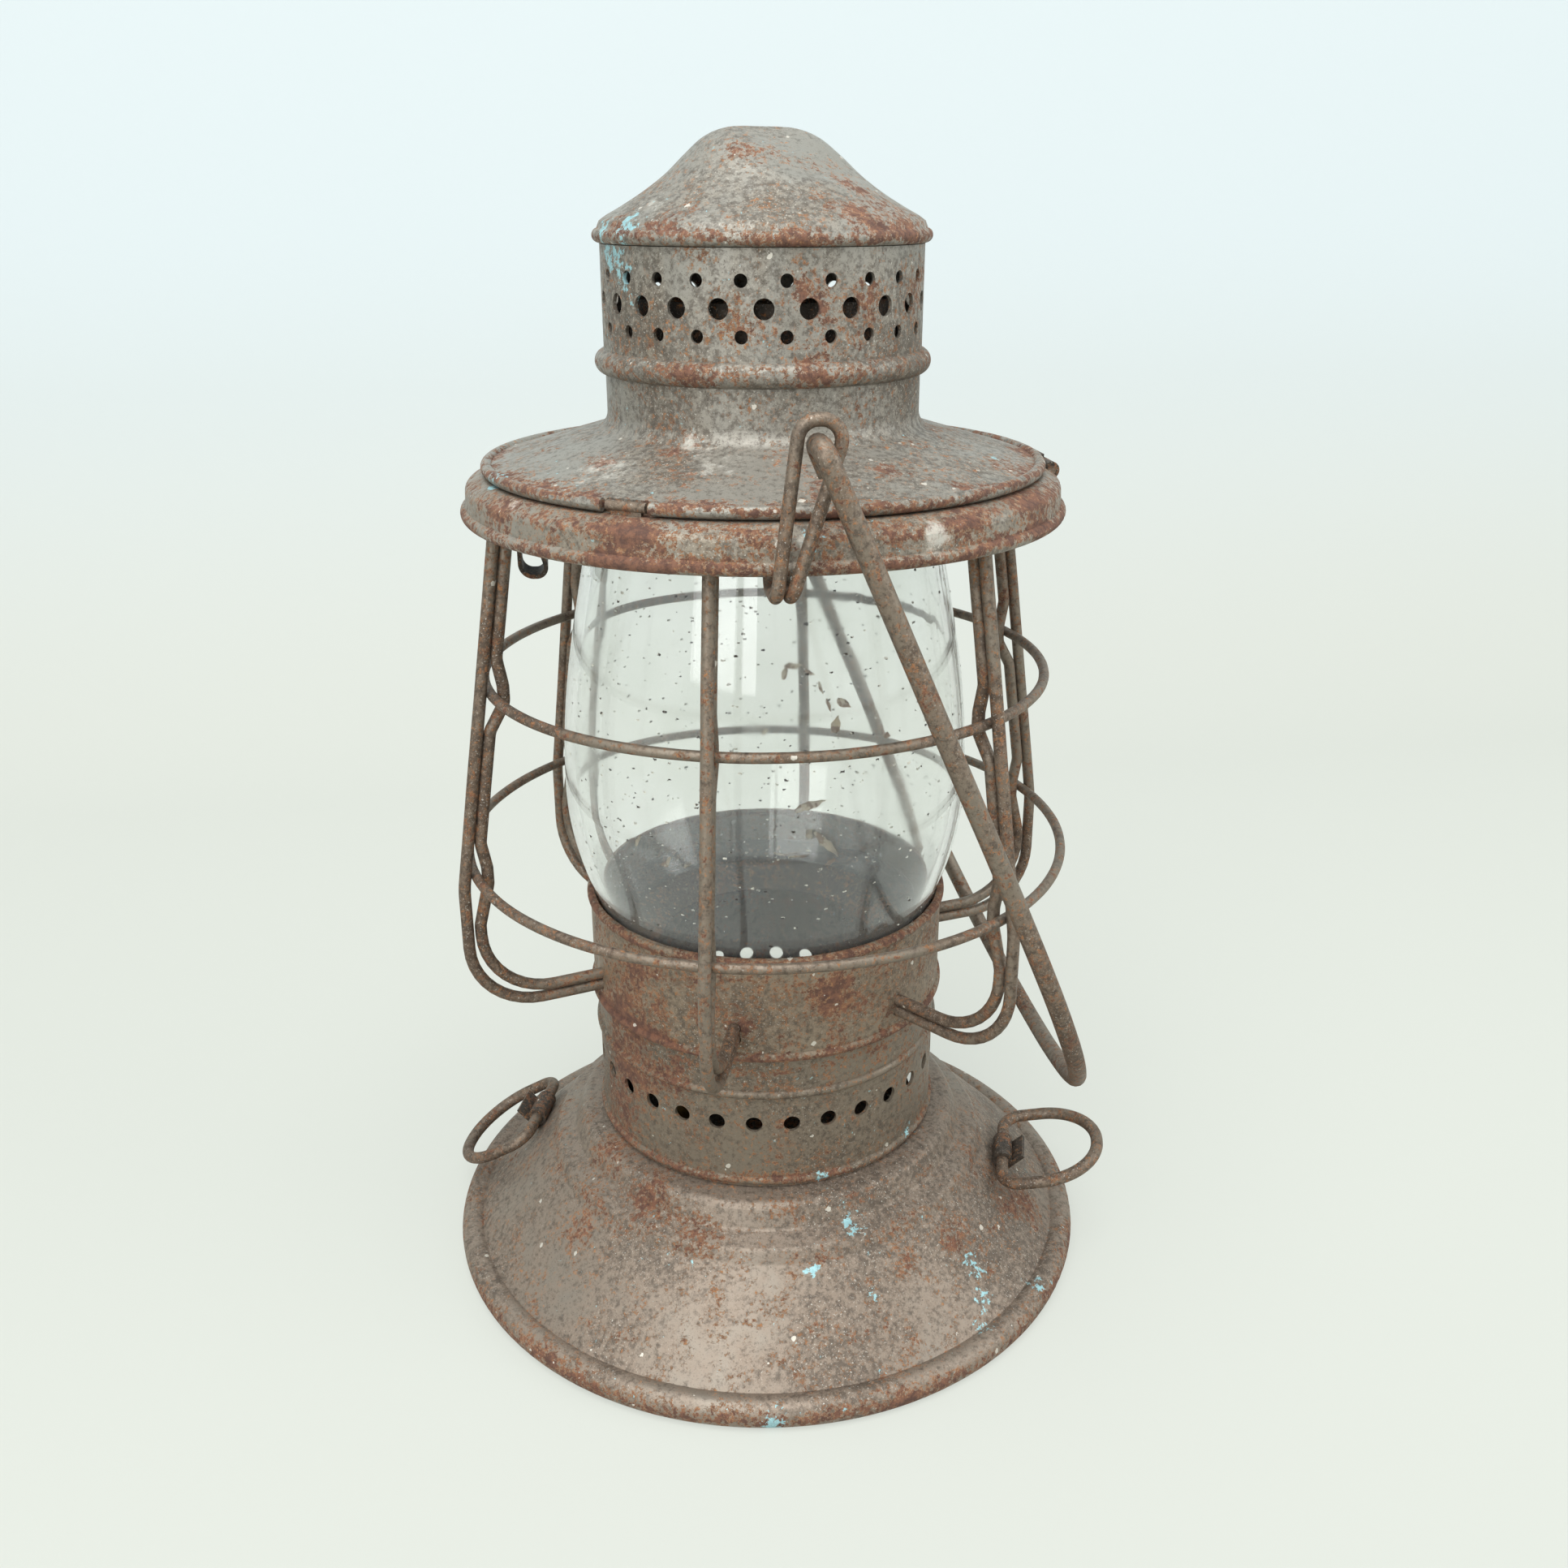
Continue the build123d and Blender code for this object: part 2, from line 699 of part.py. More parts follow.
# Bail ears: one wire each, hooked under the rim and looped into an eye.
root_height = flange - ear_root_drop
half_step = (ear_wire + ear_leg_gap) / 2
left_root = ear_lean - half_step
right_root = ear_lean + half_step
eye_ratio = (ear_eye + ear_eye_rise - root_height) / (ear_eye - root_height)
left_top = left_root + (-ear_eye_half_width - left_root) * eye_ratio
right_top = right_root + (ear_eye_half_width - right_root) * eye_ratio
anchor_top = root_height + ear_anchor_rise
ear_path = FilletPolyline(
    (left_root, -ear_anchor_radius, anchor_top),
    (left_root, -ear_anchor_radius, root_height),
    (left_root, -ear_radius, root_height),
    (left_top, -ear_radius, ear_eye + ear_eye_rise),
    (right_top, -ear_radius, ear_eye + ear_eye_rise),
    (right_root, -ear_radius, root_height),
    (right_root, -ear_anchor_radius, root_height),
    (right_root, -ear_anchor_radius, anchor_top),
    radius=[ear_bend, ear_bend, ear_eye_bend, ear_eye_bend, ear_bend, ear_bend],
)
ear = bent_wire(Wire(ear_path.edges()), ear_wire)
nodes["bail_ear_front"] = ear
nodes["bail_ear_back"] = Rot(0, 0, 180) * ear

# Bail: two legs and a half circle, its ends hooked inwards through the eyes.
hang = math.radians(bail_hang_angle)


def on_bail(along, side):
    return Vector(along * math.sin(hang), side, ear_eye - along * math.cos(hang))


hook_bend = bail_wire * hook_bend_share
bail_start = FilletPolyline(
    on_bail(bail_hook, -bail_inside),
    on_bail(0, -bail_inside),
    on_bail(0, -bail_side),
    on_bail(bail_leg, -bail_side),
    radius=hook_bend,
)
bail_finish = FilletPolyline(
    on_bail(bail_leg, bail_side),
    on_bail(0, bail_side),
    on_bail(0, bail_inside),
    on_bail(bail_hook, bail_inside),
    radius=hook_bend,
)
bail_bow = ThreePointArc(
    on_bail(bail_leg, -bail_side),
    on_bail(bail_leg + bail_side, 0),
    on_bail(bail_leg, bail_side),
)
bail_path = Wire([*bail_start.edges(), *bail_bow.edges(), *bail_finish.edges()])
nodes["bail"] = bent_wire(bail_path, bail_wire)

# D-shaped rings: each hangs on its bar in a strap on the skirt.
skirt_slope = (skirt_top[1] - skirt_foot[1]) / (skirt_foot[0] - skirt_top[0])
skirt_angle = math.degrees(math.atan(skirt_slope))
ring_bar_radius = skirt_top[0] + ring_bar_share * (skirt_foot[0] - skirt_top[0])
skirt_rise = (tin / 2 + ring_strap_wall + running_gap + ring_wire / 2) * math.hypot(1, skirt_slope)
bar_height = skirt_top[1] - (ring_bar_radius - skirt_top[0]) * skirt_slope + skirt_rise
half_width = ring_width / 2
ring_bow = half_width - ring_split
ring_line = FilletPolyline(
    (ring_split / 2, 0),
    (half_width, 0),
    (half_width, -ring_depth),
    (-half_width, -ring_depth),
    (-half_width, 0),
    (-ring_split / 2, 0),
    radius=[ring_corner_radius, ring_bow, ring_bow, ring_corner_radius],
)
ring_shape = bent_wire(Wire(ring_line.edges()), ring_wire)
strap_bore = ring_wire / 2 + running_gap
strap_outer = strap_bore + ring_strap_wall
strap_half = ring_strap_length / 2
strap_tube = rod((-strap_half, 0, 0), (strap_half, 0, 0), strap_outer)
strap_plate = Rot(-skirt_angle, 0, 0) * block(
    (-strap_half, -2 * strap_outer, -strap_outer - ring_plate_sink),
    (strap_half, strap_outer, -strap_outer + ring_plate_rise),
)
strap_hole = rod((-half_width, 0, 0), (half_width, 0, 0), strap_bore)
for side, azimuth in ring_azimuths.items():
    seat = Rot(0, 0, azimuth) * Pos(0, -ring_bar_radius, bar_height)
    nodes[f"base_ring_{side}"] = seat * Rot(-ring_tilts[side], 0, 0) * ring_shape
    nodes[f"ring_strap_{side}"] = seat * (strap_tube + strap_plate - strap_hole) - nodes["bell_base"]

# Oil fount: a drawn pot and a domed top seamed together, with bayonet lugs on its side.
pot_line = fount_radius - tin / 2
pot = turned_cup(
    [(0, fount_floor + tin / 2), (pot_line, fount_floor + tin / 2), (pot_line, fount_seam_height)],
    [fount_bend],
)
lug_foot = fount_lug_height
lug_block = block(
    (-fount_lug_width / 2, -fount_radius - fount_lug_reach, lug_foot),
    (fount_lug_width / 2, -fount_radius + tin / 2, lug_foot + tin),
)
pot += around(fount_lug_count, fount_lug_azimuth, lug_block)
nodes["fount_pot"] = pot
top_foot = fount_seam_height + tin / 2 + solder_gap
filler_middle = polar(filler_place, filler_azimuth, fount_shoulder_height)
fount_top = turned_sheet(
    [
        (pot_line, top_foot + tin / 2),
        (pot_line, fount_shoulder_height - fount_shoulder_fall),
        (fount_neck_radius - tin / 2, fount_shoulder_height + tin),
        (fount_neck_radius - tin / 2, fount_neck_height),
    ],
    [fount_bend, fount_neck_bend],
)
filler_bore = filler_radius - filler_lip
filler_pipe = Pos(filler_middle) * Cylinder(filler_bore, filler_height + fount_shoulder_fall)
filler_hole = Pos(filler_middle) * Cylinder(filler_bore + solder_gap, 4 * filler_height)
nodes["fount_top"] = fount_top - filler_hole
filler_cap = Pos(filler_middle + Vector(0, 0, filler_lip)) * Cylinder(filler_radius, filler_height / 2)
nodes["filler_cap"] = (filler_pipe + Pos(0, 0, filler_height / 2) * filler_cap) - nodes["fount_top"]

# Fount clips: strips under the base flange with feet below the lugs.
clip_place = fount_radius + fount_lug_reach + part_gap
clip_low = lug_foot - part_gap - clip_wall
clip = block(
    (-fount_lug_width / 2, -clip_place - clip_wall, clip_low),
    (fount_lug_width / 2, -clip_place, base_height - tin - clip_top_gap),
)
clip += block(
    (-fount_lug_width / 2, -clip_place - clip_wall, clip_low),
    (fount_lug_width / 2, -clip_place + clip_foot, clip_low + clip_wall),
)
nodes["fount_clips"] = Compound(around(fount_lug_count, fount_lug_azimuth, clip))

# Burner: threaded collar, deck, wick tube and cone.
collar_low = fount_shoulder_height + 3 * tin
burner_foot = fount_neck_height + tin
collar_inner = fount_neck_radius + solder_gap
nodes["burner_collar"] = tube(
    collar_inner + burner_collar_wall, collar_inner, collar_low, burner_foot
)
deck_low = burner_foot + solder_gap
deck_top = deck_low + deck_height
tube_half_width = wick_width / 2 + wick_room
tube_half_depth = wick_thickness / 2 + wick_room
tube_outer = (tube_half_width + wick_tube_wall, tube_half_depth + wick_tube_wall)
tube_low = deck_low - wick_tube_depth
wick_tube_top = deck_low + wick_tube_height
wick_tube = block(
    (-tube_outer[0], -tube_outer[1], tube_low), (tube_outer[0], tube_outer[1], wick_tube_top)
)
wick_way = block(
    (-tube_half_width, -tube_half_depth, tube_low - tin),
    (tube_half_width, tube_half_depth, wick_tube_top + tin),
)
shaft_height = deck_top + knob_shaft_height
shaft_offset = tube_outer[1] + sprocket_radius + part_gap
tube_way = block(
    (-tube_outer[0] - solder_gap, -tube_outer[1] - solder_gap, deck_low - tin),
    (tube_outer[0] + solder_gap, tube_outer[1] + solder_gap, deck_top + tin),
)
nodes["wick_tube"] = wick_tube - wick_way
deck = tube(deck_radius, 0, deck_low, deck_top) - tube_way
air_slot = Pos(0, -deck_hole_place, deck_low) * Cylinder(deck_hole_diameter / 2, 4 * deck_height)
nodes["burner_deck"] = deck - around(deck_hole_count, 180 / deck_hole_count, air_slot)


def on_shaft(along):
    return Vector(along, -shaft_offset, shaft_height)


cone_low = deck_top + solder_gap
cone_line = cone_radius - tin / 2
cone_shell = turned_cup(
    [
        (cone_line, cone_low + tin / 2),
        (cone_line, cone_low + cone_height * cone_knee_share),
        (cone_line * cone_top_share, cone_low + cone_height - tin / 2),
        (0, cone_low + cone_height - tin / 2),
    ],
    [cone_bend, cone_bend],
)
flame_slot = block(
    (-tube_outer[0] - cone_slot_room, -tube_outer[1] - cone_slot_room, wick_tube_top - cone_slot_depth),
    (tube_outer[0] + cone_slot_room, tube_outer[1] + cone_slot_room, cone_low + 2 * cone_height),
)
shaft_way = rod(on_shaft(0), on_shaft(cone_radius + drill_reach), knob_shaft_radius + part_gap)
nodes["burner_cone"] = cone_shell - flame_slot - shaft_way

# Wick wheel: a shaft beside the wick tube, its feed wheel inside and its knob outside the cone.
wheel = rod(on_shaft(-shaft_end), on_shaft(knob_place), knob_shaft_radius)
wheel += rod(on_shaft(-sprocket_half), on_shaft(sprocket_half), sprocket_radius)
wheel += rod(on_shaft(knob_place - knob_thickness), on_shaft(knob_place), knob_radius)
nodes["wick_wheel"] = wheel

# Wick: a flat woven strip from the oil to just above the tube.
nodes["wick"] = block(
    (-wick_width / 2, -wick_thickness / 2, fount_floor + wick_foot),
    (wick_width / 2, wick_thickness / 2, wick_tube_top + wick_show),
)

os.makedirs("parts", exist_ok=True)
for name, shape in nodes.items():
    export_step(shape, f"parts/{name}.step")
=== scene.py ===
import math

import bmesh
import bpy
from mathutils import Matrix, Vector, noise


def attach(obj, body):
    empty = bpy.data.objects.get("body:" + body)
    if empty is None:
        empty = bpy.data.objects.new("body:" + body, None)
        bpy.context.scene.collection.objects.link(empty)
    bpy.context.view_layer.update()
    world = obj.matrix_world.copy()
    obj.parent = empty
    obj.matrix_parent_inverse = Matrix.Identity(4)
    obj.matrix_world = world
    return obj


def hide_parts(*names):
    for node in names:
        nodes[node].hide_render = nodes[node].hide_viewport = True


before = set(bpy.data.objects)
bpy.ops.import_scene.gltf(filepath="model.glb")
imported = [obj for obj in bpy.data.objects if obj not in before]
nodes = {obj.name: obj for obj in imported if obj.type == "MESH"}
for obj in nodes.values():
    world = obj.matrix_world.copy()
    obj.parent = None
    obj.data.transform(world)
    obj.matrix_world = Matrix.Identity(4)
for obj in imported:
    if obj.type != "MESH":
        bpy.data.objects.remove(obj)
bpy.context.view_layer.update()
scene = bpy.context.scene
scene.view_settings.view_transform = "Standard"
print("frame loaded:", len(nodes), "pieces")


# Camera at the photograph's viewing angle

cameraView = {"place": (-0.0441, -0.3177, 0.2500), "tilt": 68.0, "turn": -8.7, "lens": 33.34}


def placeCamera(view):
    data = bpy.data.cameras.new("lanternCamera")
    data.sensor_fit = "HORIZONTAL"
    data.sensor_width = 36.0
    data.lens = view["lens"]
    data.clip_start = 0.01
    camera = bpy.data.objects.new("lanternCamera", data)
    camera.location = view["place"]
    camera.rotation_euler = (math.radians(view["tilt"]), 0.0, math.radians(view["turn"]))
    scene.collection.objects.link(camera)
    scene.camera = camera


placeCamera(cameraView)
print("camera placed")


# Small helpers for node trees

def put(tree, kind, inputs=None, **settings):
    node = tree.nodes.new(kind)
    for key, value in settings.items():
        setattr(node, key, value)
    for key, value in (inputs or {}).items():
        if isinstance(value, bpy.types.NodeSocket):
            tree.links.new(value, node.inputs[key])
        else:
            node.inputs[key].default_value = value
    return node


def calc(tree, operation, a, b=0.0):
    return put(tree, "ShaderNodeMath", {0: a, 1: b}, operation=operation).outputs[0]


def fade(tree, value, low, high, start=0.0, end=1.0):
    sockets = {0: value, 1: low, 2: high, 3: start, 4: end}
    return put(tree, "ShaderNodeMapRange", sockets, interpolation_type="SMOOTHSTEP").outputs[0]


def tint(tree, factor, a, b):
    sockets = {0: factor, 6: a, 7: b}
    return put(tree, "ShaderNodeMix", sockets, data_type="RGBA").outputs[2]


def cloud(tree, vector, scale, detail=6.0, rough=0.6):
    sockets = {"Vector": vector, "Scale": scale, "Detail": detail, "Roughness": rough}
    return put(tree, "ShaderNodeTexNoise", sockets).outputs[0]


def stretched(tree, vector, size):
    return put(tree, "ShaderNodeMapping", {"Vector": vector, "Scale": size}).outputs[0]


def hue(r, g, b):
    def linear(value):
        value /= 255.0
        return value / 12.92 if value <= 0.04045 else ((value + 0.055) / 1.055) ** 2.4
    return (linear(r), linear(g), linear(b), 1.0)


def newGroup(name, inputs, outputs):
    tree = bpy.data.node_groups.new(name, "ShaderNodeTree")
    for label, kind, value in inputs:
        socket = tree.interface.new_socket(label, in_out="INPUT", socket_type="NodeSocket" + kind)
        if value is not None:
            socket.default_value = value
    for label, kind in outputs:
        tree.interface.new_socket(label, in_out="OUTPUT", socket_type="NodeSocket" + kind)
    return tree, tree.nodes.new("NodeGroupInput").outputs, tree.nodes.new("NodeGroupOutput").inputs


def useGroup(tree, group, inputs):
    node = tree.nodes.new("ShaderNodeGroup")
    node.node_tree = group
    for key, value in inputs.items():
        if isinstance(value, bpy.types.NodeSocket):
            tree.links.new(value, node.inputs[key])
        else:
            node.inputs[key].default_value = value
    return node.outputs


# Dull tin: broad mottling, runs down the side, fine speckle and pale grains that are painted glints

def makeTinPatina():
    group, given, out = newGroup(
        "tinPatina",
        [("Vector", "Vector", None), ("Grey", "Color", hue(136, 127, 114)),
        ("Brown", "Color", hue(140, 120, 104)),
         ("Grime", "Color", hue(66, 56, 48)), ("Brownness", "Float", 0.5)],
        [("Color", "Color"), ("Roughness", "Float"), ("Height", "Float")],
    )
    broad = cloud(group, given["Vector"], 26.0, 5.0, 0.55)
    runs = cloud(group, stretched(group, given["Vector"], (240.0, 240.0, 30.0)), 1.0, 5.0, 0.6)
    fine = cloud(group, given["Vector"], 700.0, 5.0, 0.75)
    grain = cloud(group, given["Vector"], 2300.0, 3.0, 0.7)
    lean = calc(group, "ADD", calc(group, "MULTIPLY", broad, 0.65), calc(group, "MULTIPLY", runs, 0.35))
    brownMask = fade(group, calc(group, "ADD", lean, calc(group, "SUBTRACT", given["Brownness"], 0.5)), 0.36, 0.64)
    color = tint(group, brownMask, given["Grey"], given["Brown"])
    soil = calc(group, "ADD", calc(group, "MULTIPLY", fine, 0.65), calc(group, "MULTIPLY", broad, 0.35))
    dirt = fade(group, soil, 0.45, 0.6)
    color = tint(group, calc(group, "MULTIPLY", dirt, 0.7), color, given["Grime"])
    pits = fade(group, grain, 0.6, 0.68)
    color = tint(group, calc(group, "MULTIPLY", pits, 0.75), color, given["Grime"])
    # Pale grains: painted glints standing in for the tin's fine sparkle, laid in where the broad mottling is high
    pale = fade(group, grain, 0.4, 0.32)
    paintedGlintGrains = calc(group, "MULTIPLY", pale, fade(group, lean, 0.42, 0.62))
    color = tint(group, calc(group, "MULTIPLY", paintedGlintGrains, 0.85), color, hue(206, 202, 192))
    group.links.new(color, out["Color"])
    dull = calc(group, "ADD", lean, calc(group, "MULTIPLY", fine, 0.2))
    relief = calc(group, "ADD", calc(group, "MULTIPLY", grain, 0.6), calc(group, "MULTIPLY", fine, 0.4))
    group.links.new(fade(group, dull, 0.4, 0.8, 0.42, 0.66), out["Roughness"])
    group.links.new(relief, out["Height"])
    return group


# Rust: grainy islands that grow where Push is high, speckled at the rim and dark in the middle

def makeRustBloom():
    group, given, out = newGroup(
        "rustBloom",
        [("Vector", "Vector", None), ("Push", "Float", 0.0), ("Size", "Float", 95.0), ("Cover", "Float", 0.3)],
        [("Mask", "Float"), ("Color", "Color"), ("Height", "Float")],
    )
    islands = cloud(group, given["Vector"], given["Size"], 6.0, 0.62)
    crumbs = fade(group, cloud(group, given["Vector"], 850.0, 5.0, 0.78), 0.36, 0.64)
    field = calc(group, "ADD", calc(group, "MULTIPLY", islands, 0.66), calc(group, "MULTIPLY", crumbs, 0.34))
    drive = calc(group, "ADD", calc(group, "MULTIPLY", given["Push"], 0.3), given["Cover"])
    level = calc(group, "SUBTRACT", calc(group, "ADD", field, drive), 0.9)
    mask = fade(group, level, -0.03, 0.07)
    depth = fade(group, level, 0.02, 0.2)
    shade = cloud(group, given["Vector"], 520.0, 6.0, 0.75)
    broad = cloud(group, given["Vector"], 55.0, 3.0, 0.6)
    orange = tint(group, fade(group, shade, 0.42, 0.6), hue(128, 92, 62), hue(164, 112, 66))
    dark = tint(group, fade(group, shade, 0.4, 0.6), hue(78, 48, 38), hue(116, 76, 56))
    core = calc(group, "ADD", depth, calc(group, "MULTIPLY", broad, 0.6))
    color = tint(group, fade(group, core, 0.3, 0.75), orange, dark)
    group.links.new(mask, out["Mask"])
    group.links.new(color, out["Color"])
    group.links.new(calc(group, "MULTIPLY", mask, calc(group, "ADD", crumbs, 0.5)), out["Height"])
    return group


# Old blue paint left in flakes where Push is high

def makePaintFlakes():
    group, given, out = newGroup(
        "paintFlakes",
        [("Vector", "Vector", None), ("Push", "Float", 0.0)],
        [("Mask", "Float"), ("Color", "Color")],
    )
    flakes = cloud(group, given["Vector"], 520.0, 6.0, 0.7)
    level = calc(group, "ADD", flakes, calc(group, "MULTIPLY", given["Push"], 0.24))
    mask = fade(group, level, 0.67, 0.7)
    shade = cloud(group, given["Vector"], 1200.0, 3.0)
    group.links.new(mask, out["Mask"])
    group.links.new(tint(group, shade, hue(116, 158, 166), hue(172, 208, 210)), out["Color"])
    return group


# Pale dust specks

def makeDustSpecks():
    group, given, out = newGroup(
        "dustSpecks",
        [("Vector", "Vector", None), ("Scale", "Float", 420.0), ("Amount", "Float", 0.2)],
        [("Mask", "Float")],
    )
    warped = cloud(group, given["Vector"], 900.0, 2.0)
    warp = calc(group, "MULTIPLY", warped, 0.0012)
    place = put(group, "ShaderNodeVectorMath", {0: given["Vector"], 1: warp}, operation="ADD")
    cells = put(group, "ShaderNodeTexVoronoi", {"Vector": place.outputs[0], "Scale": given["Scale"], "Randomness": 1.0})
    tone = put(group, "ShaderNodeSeparateColor", {0: cells.outputs["Color"]})
    size = calc(group, "MULTIPLY", calc(group, "POWER", tone.outputs[0], 3.0), 0.24)
    dot = calc(group, "LESS_THAN", cells.outputs["Distance"], size)
    pick = calc(group, "LESS_THAN", tone.outputs[1], given["Amount"])
    group.links.new(calc(group, "MULTIPLY", dot, pick), out["Mask"])
    return group


tinPatina = makeTinPatina()
rustBloom = makeRustBloom()
paintFlakes = makePaintFlakes()
dustSpecks = makeDustSpecks()
print("finish groups built")


def polar(radius, azimuth, height):
    angle = math.radians(azimuth)
    return (radius * math.sin(angle) / 1000, -radius * math.cos(angle) / 1000, height / 1000)


# Adds up the places where something gathers: rings at a height, and spots on the surface (mm)
def gathered(tree, place, bands, spots):
    total = 0.0
    height = put(tree, "ShaderNodeSeparateXYZ", {0: place}).outputs[2]
    wander = calc(tree, "MULTIPLY", calc(tree, "SUBTRACT", cloud(tree, place, 60.0, 4.0), 0.5), 0.008)
    for middle, reach, weight in bands:
        away = calc(tree, "ABSOLUTE", calc(tree, "SUBTRACT", calc(tree, "ADD", height, wander), middle / 1000))
        total = calc(tree, "ADD", total, calc(tree, "MULTIPLY", fade(tree, away, reach / 1000, 0.0), weight))
    for spot, reach, weight in spots:
        away = put(tree, "ShaderNodeVectorMath", {0: place, 1: spot}, operation="DISTANCE").outputs["Value"]
        total = calc(tree, "ADD", total, calc(tree, "MULTIPLY", fade(tree, away, reach / 1000, 0.0), weight))
    return total


# One tin finish per piece: look holds colours and where rust and paint have gathered
def tinFinish(name, look):
    material = bpy.data.materials.new(name)
    material.use_nodes = True
    tree = material.node_tree
    shader = tree.nodes["Principled BSDF"]
    place = put(tree, "ShaderNodeTexCoord").outputs["Object"]
    patina = useGroup(tree, tinPatina, {
        "Vector": place, "Grey": look["grey"], "Brown": look["brown"], "Grime": look["grime"],
        "Brownness": look["brownness"],
    })
    push = gathered(tree, place, look["rustBands"], look["rustSpots"])
    rust = useGroup(tree, rustBloom, {
        "Vector": place, "Push": push, "Size": look["rustSize"], "Cover": look["rustCover"],
    })
    color = tint(tree, calc(tree, "MULTIPLY", rust["Mask"], 0.92), patina["Color"], rust["Color"])
    if look["dustSpots"]:
        scuff = gathered(tree, place, [], look["dustSpots"])
        streaks = cloud(tree, place, 260.0, 8.0, 0.75)
        haze = fade(tree, calc(tree, "ADD", streaks, calc(tree, "MULTIPLY", scuff, 0.3)), 0.66, 0.86)
        color = tint(tree, calc(tree, "MULTIPLY", haze, 0.75), color, hue(198, 194, 184))
    if look["paintSpots"]:
        paint = useGroup(tree, paintFlakes, {"Vector": place, "Push": gathered(tree, place, [], look["paintSpots"])})
        color = tint(tree, paint["Mask"], color, paint["Color"])
    specks = useGroup(tree, dustSpecks, {"Vector": place, "Scale": 360.0, "Amount": look["specks"]})
    color = tint(tree, calc(tree, "MULTIPLY", specks["Mask"], 0.8), color, hue(206, 200, 188))
    tree.links.new(color, shader.inputs["Base Color"])
    bare = calc(tree, "SUBTRACT", 1.0, rust["Mask"])
    tree.links.new(calc(tree, "MULTIPLY", bare, look["metal"]), shader.inputs["Metallic"])
    rough = calc(tree, "MAXIMUM", patina["Roughness"], calc(tree, "MULTIPLY", rust["Mask"], 0.86))
    tree.links.new(rough, shader.inputs["Roughness"])
    relief = calc(tree, "ADD", calc(tree, "MULTIPLY", patina["Height"], 0.35), rust["Height"])
    bump = put(tree, "ShaderNodeBump", {"Strength": 0.4, "Distance": 0.0004, "Height": relief})
    tree.links.new(bump.outputs[0], shader.inputs["Normal"])
    return material


plainTin = {
    "grey": hue(143, 139, 130), "brown": hue(139, 128, 113), "grime": hue(70, 61, 53), "brownness": 0.42,
    "rustBands": [], "rustSpots": [], "rustSize": 105.0, "rustCover": 0.272, "paintSpots": [], "dustSpots": [],
    "specks": 0.22, "metal": 0.5,
}

domeLook = dict(
    plainTin,
    rustBands=[(243.0, 2.6, 0.7)],
    rustSpots=[
        (polar(15, 42, 261), 6, 1.0), (polar(22, 44, 253), 6, 0.9),
        (polar(32, 26, 247), 7, 0.9), (polar(34, 46, 244), 16, 0.6),
        (polar(17, 12, 258.5), 5, 0.5), (polar(16, -26, 259), 4, 0.6), (polar(34, 5, 243), 9, 0.5),
    ],
    paintSpots=[(polar(34, -58, 244.6), 7, 0.85), (polar(34.5, -74, 244.5), 6, 0.9)],
    dustSpots=[(polar(29, -55, 248.5), 8, 0.6)],
)
ventBandLook = dict(
    plainTin,
    rustBands=[(218.5, 3.0, 0.3)],
    rustSpots=[
        (polar(33.6, 9, 231.5), 6, 0.95), (polar(33.6, 2, 235), 6, 0.5),
        (polar(33.6, 30, 231), 7, 0.65), (polar(35, 8, 218), 8, 0.95),
        (polar(35, -32, 218), 8, 0.6), (polar(33.6, -15, 227), 7, 0.4), (polar(33.6, 60, 231), 12, 0.4),
    ],
    paintSpots=[
        (polar(33.6, -72, 240.5), 8, 0.95), (polar(33.6, -62, 236), 6, 0.75), (polar(33.6, -55, 231), 5, 0.6),
    ],
    dustSpots=[(polar(33.6, -6, 238), 9, 0.5)],
)
brimLook = dict(
    plainTin,
    rustBands=[(197.4, 1.5, 0.9)],
    rustSpots=[
        (polar(55, 58, 198.5), 9, 0.55), (polar(46, 22, 200.5), 5, 0.9),
        (polar(52, 5, 198.5), 8, 0.5), (polar(45, -52, 201), 6, 0.6),
        (polar(38, -36, 204), 4, 0.7),
    ],
    paintSpots=[(polar(59, -72, 197.5), 5, 0.9), (polar(51, 62, 199), 3, 0.9), (polar(50, -60, 200), 5, 0.6)],
    dustSpots=[(polar(47, -48, 200), 14, 0.85),
    (polar(36, -30, 205.5), 7, 0.95), (polar(42, -20, 203), 10, 0.7)],
    specks=0.4,
)
topBandLook = dict(
    plainTin,
    brownness=0.55,
    rustCover=0.3,
    rustBands=[(193.5, 2.6, 0.42), (188.0, 1.9, 0.85)],
    rustSpots=[
        (polar(64, 52, 193), 20, 0.6), (polar(64, -30, 192), 13, 0.85),
        (polar(64, -62, 193), 9, 0.5), (polar(64, 30, 194), 10, 0.6),
    ],
    paintSpots=[(polar(60, -74, 195), 5, 0.9), (polar(64, 0, 193), 4, 0.6)],
    dustSpots=[(polar(64, 22, 191.5), 7, 1.0), (polar(64, -2, 192.5), 4, 1.0), (polar(61, -60, 195), 8, 0.7)],
)
globeCollarLook = dict(
    plainTin,
    grey=hue(132, 122, 107), brown=hue(133, 117, 99), brownness=0.6,
    rustCover=0.298, rustSize=150.0,
    rustBands=[(71.5, 2.6, 0.95), (95.4, 1.5, 0.9), (89.0, 5.0, 0.22)],
    rustSpots=[
        (polar(43, 12, 86.5), 9, 0.95), (polar(43, 22, 82), 7, 0.7),
        (polar(43, -16, 79), 6, 0.9), (polar(43, -28, 82), 6, 0.6),
        (polar(43, -52, 88), 10, 0.75), (polar(43, -50, 76), 14, 0.6), (polar(43, -64, 72), 14, 0.8),
    ],
    specks=0.3,
)
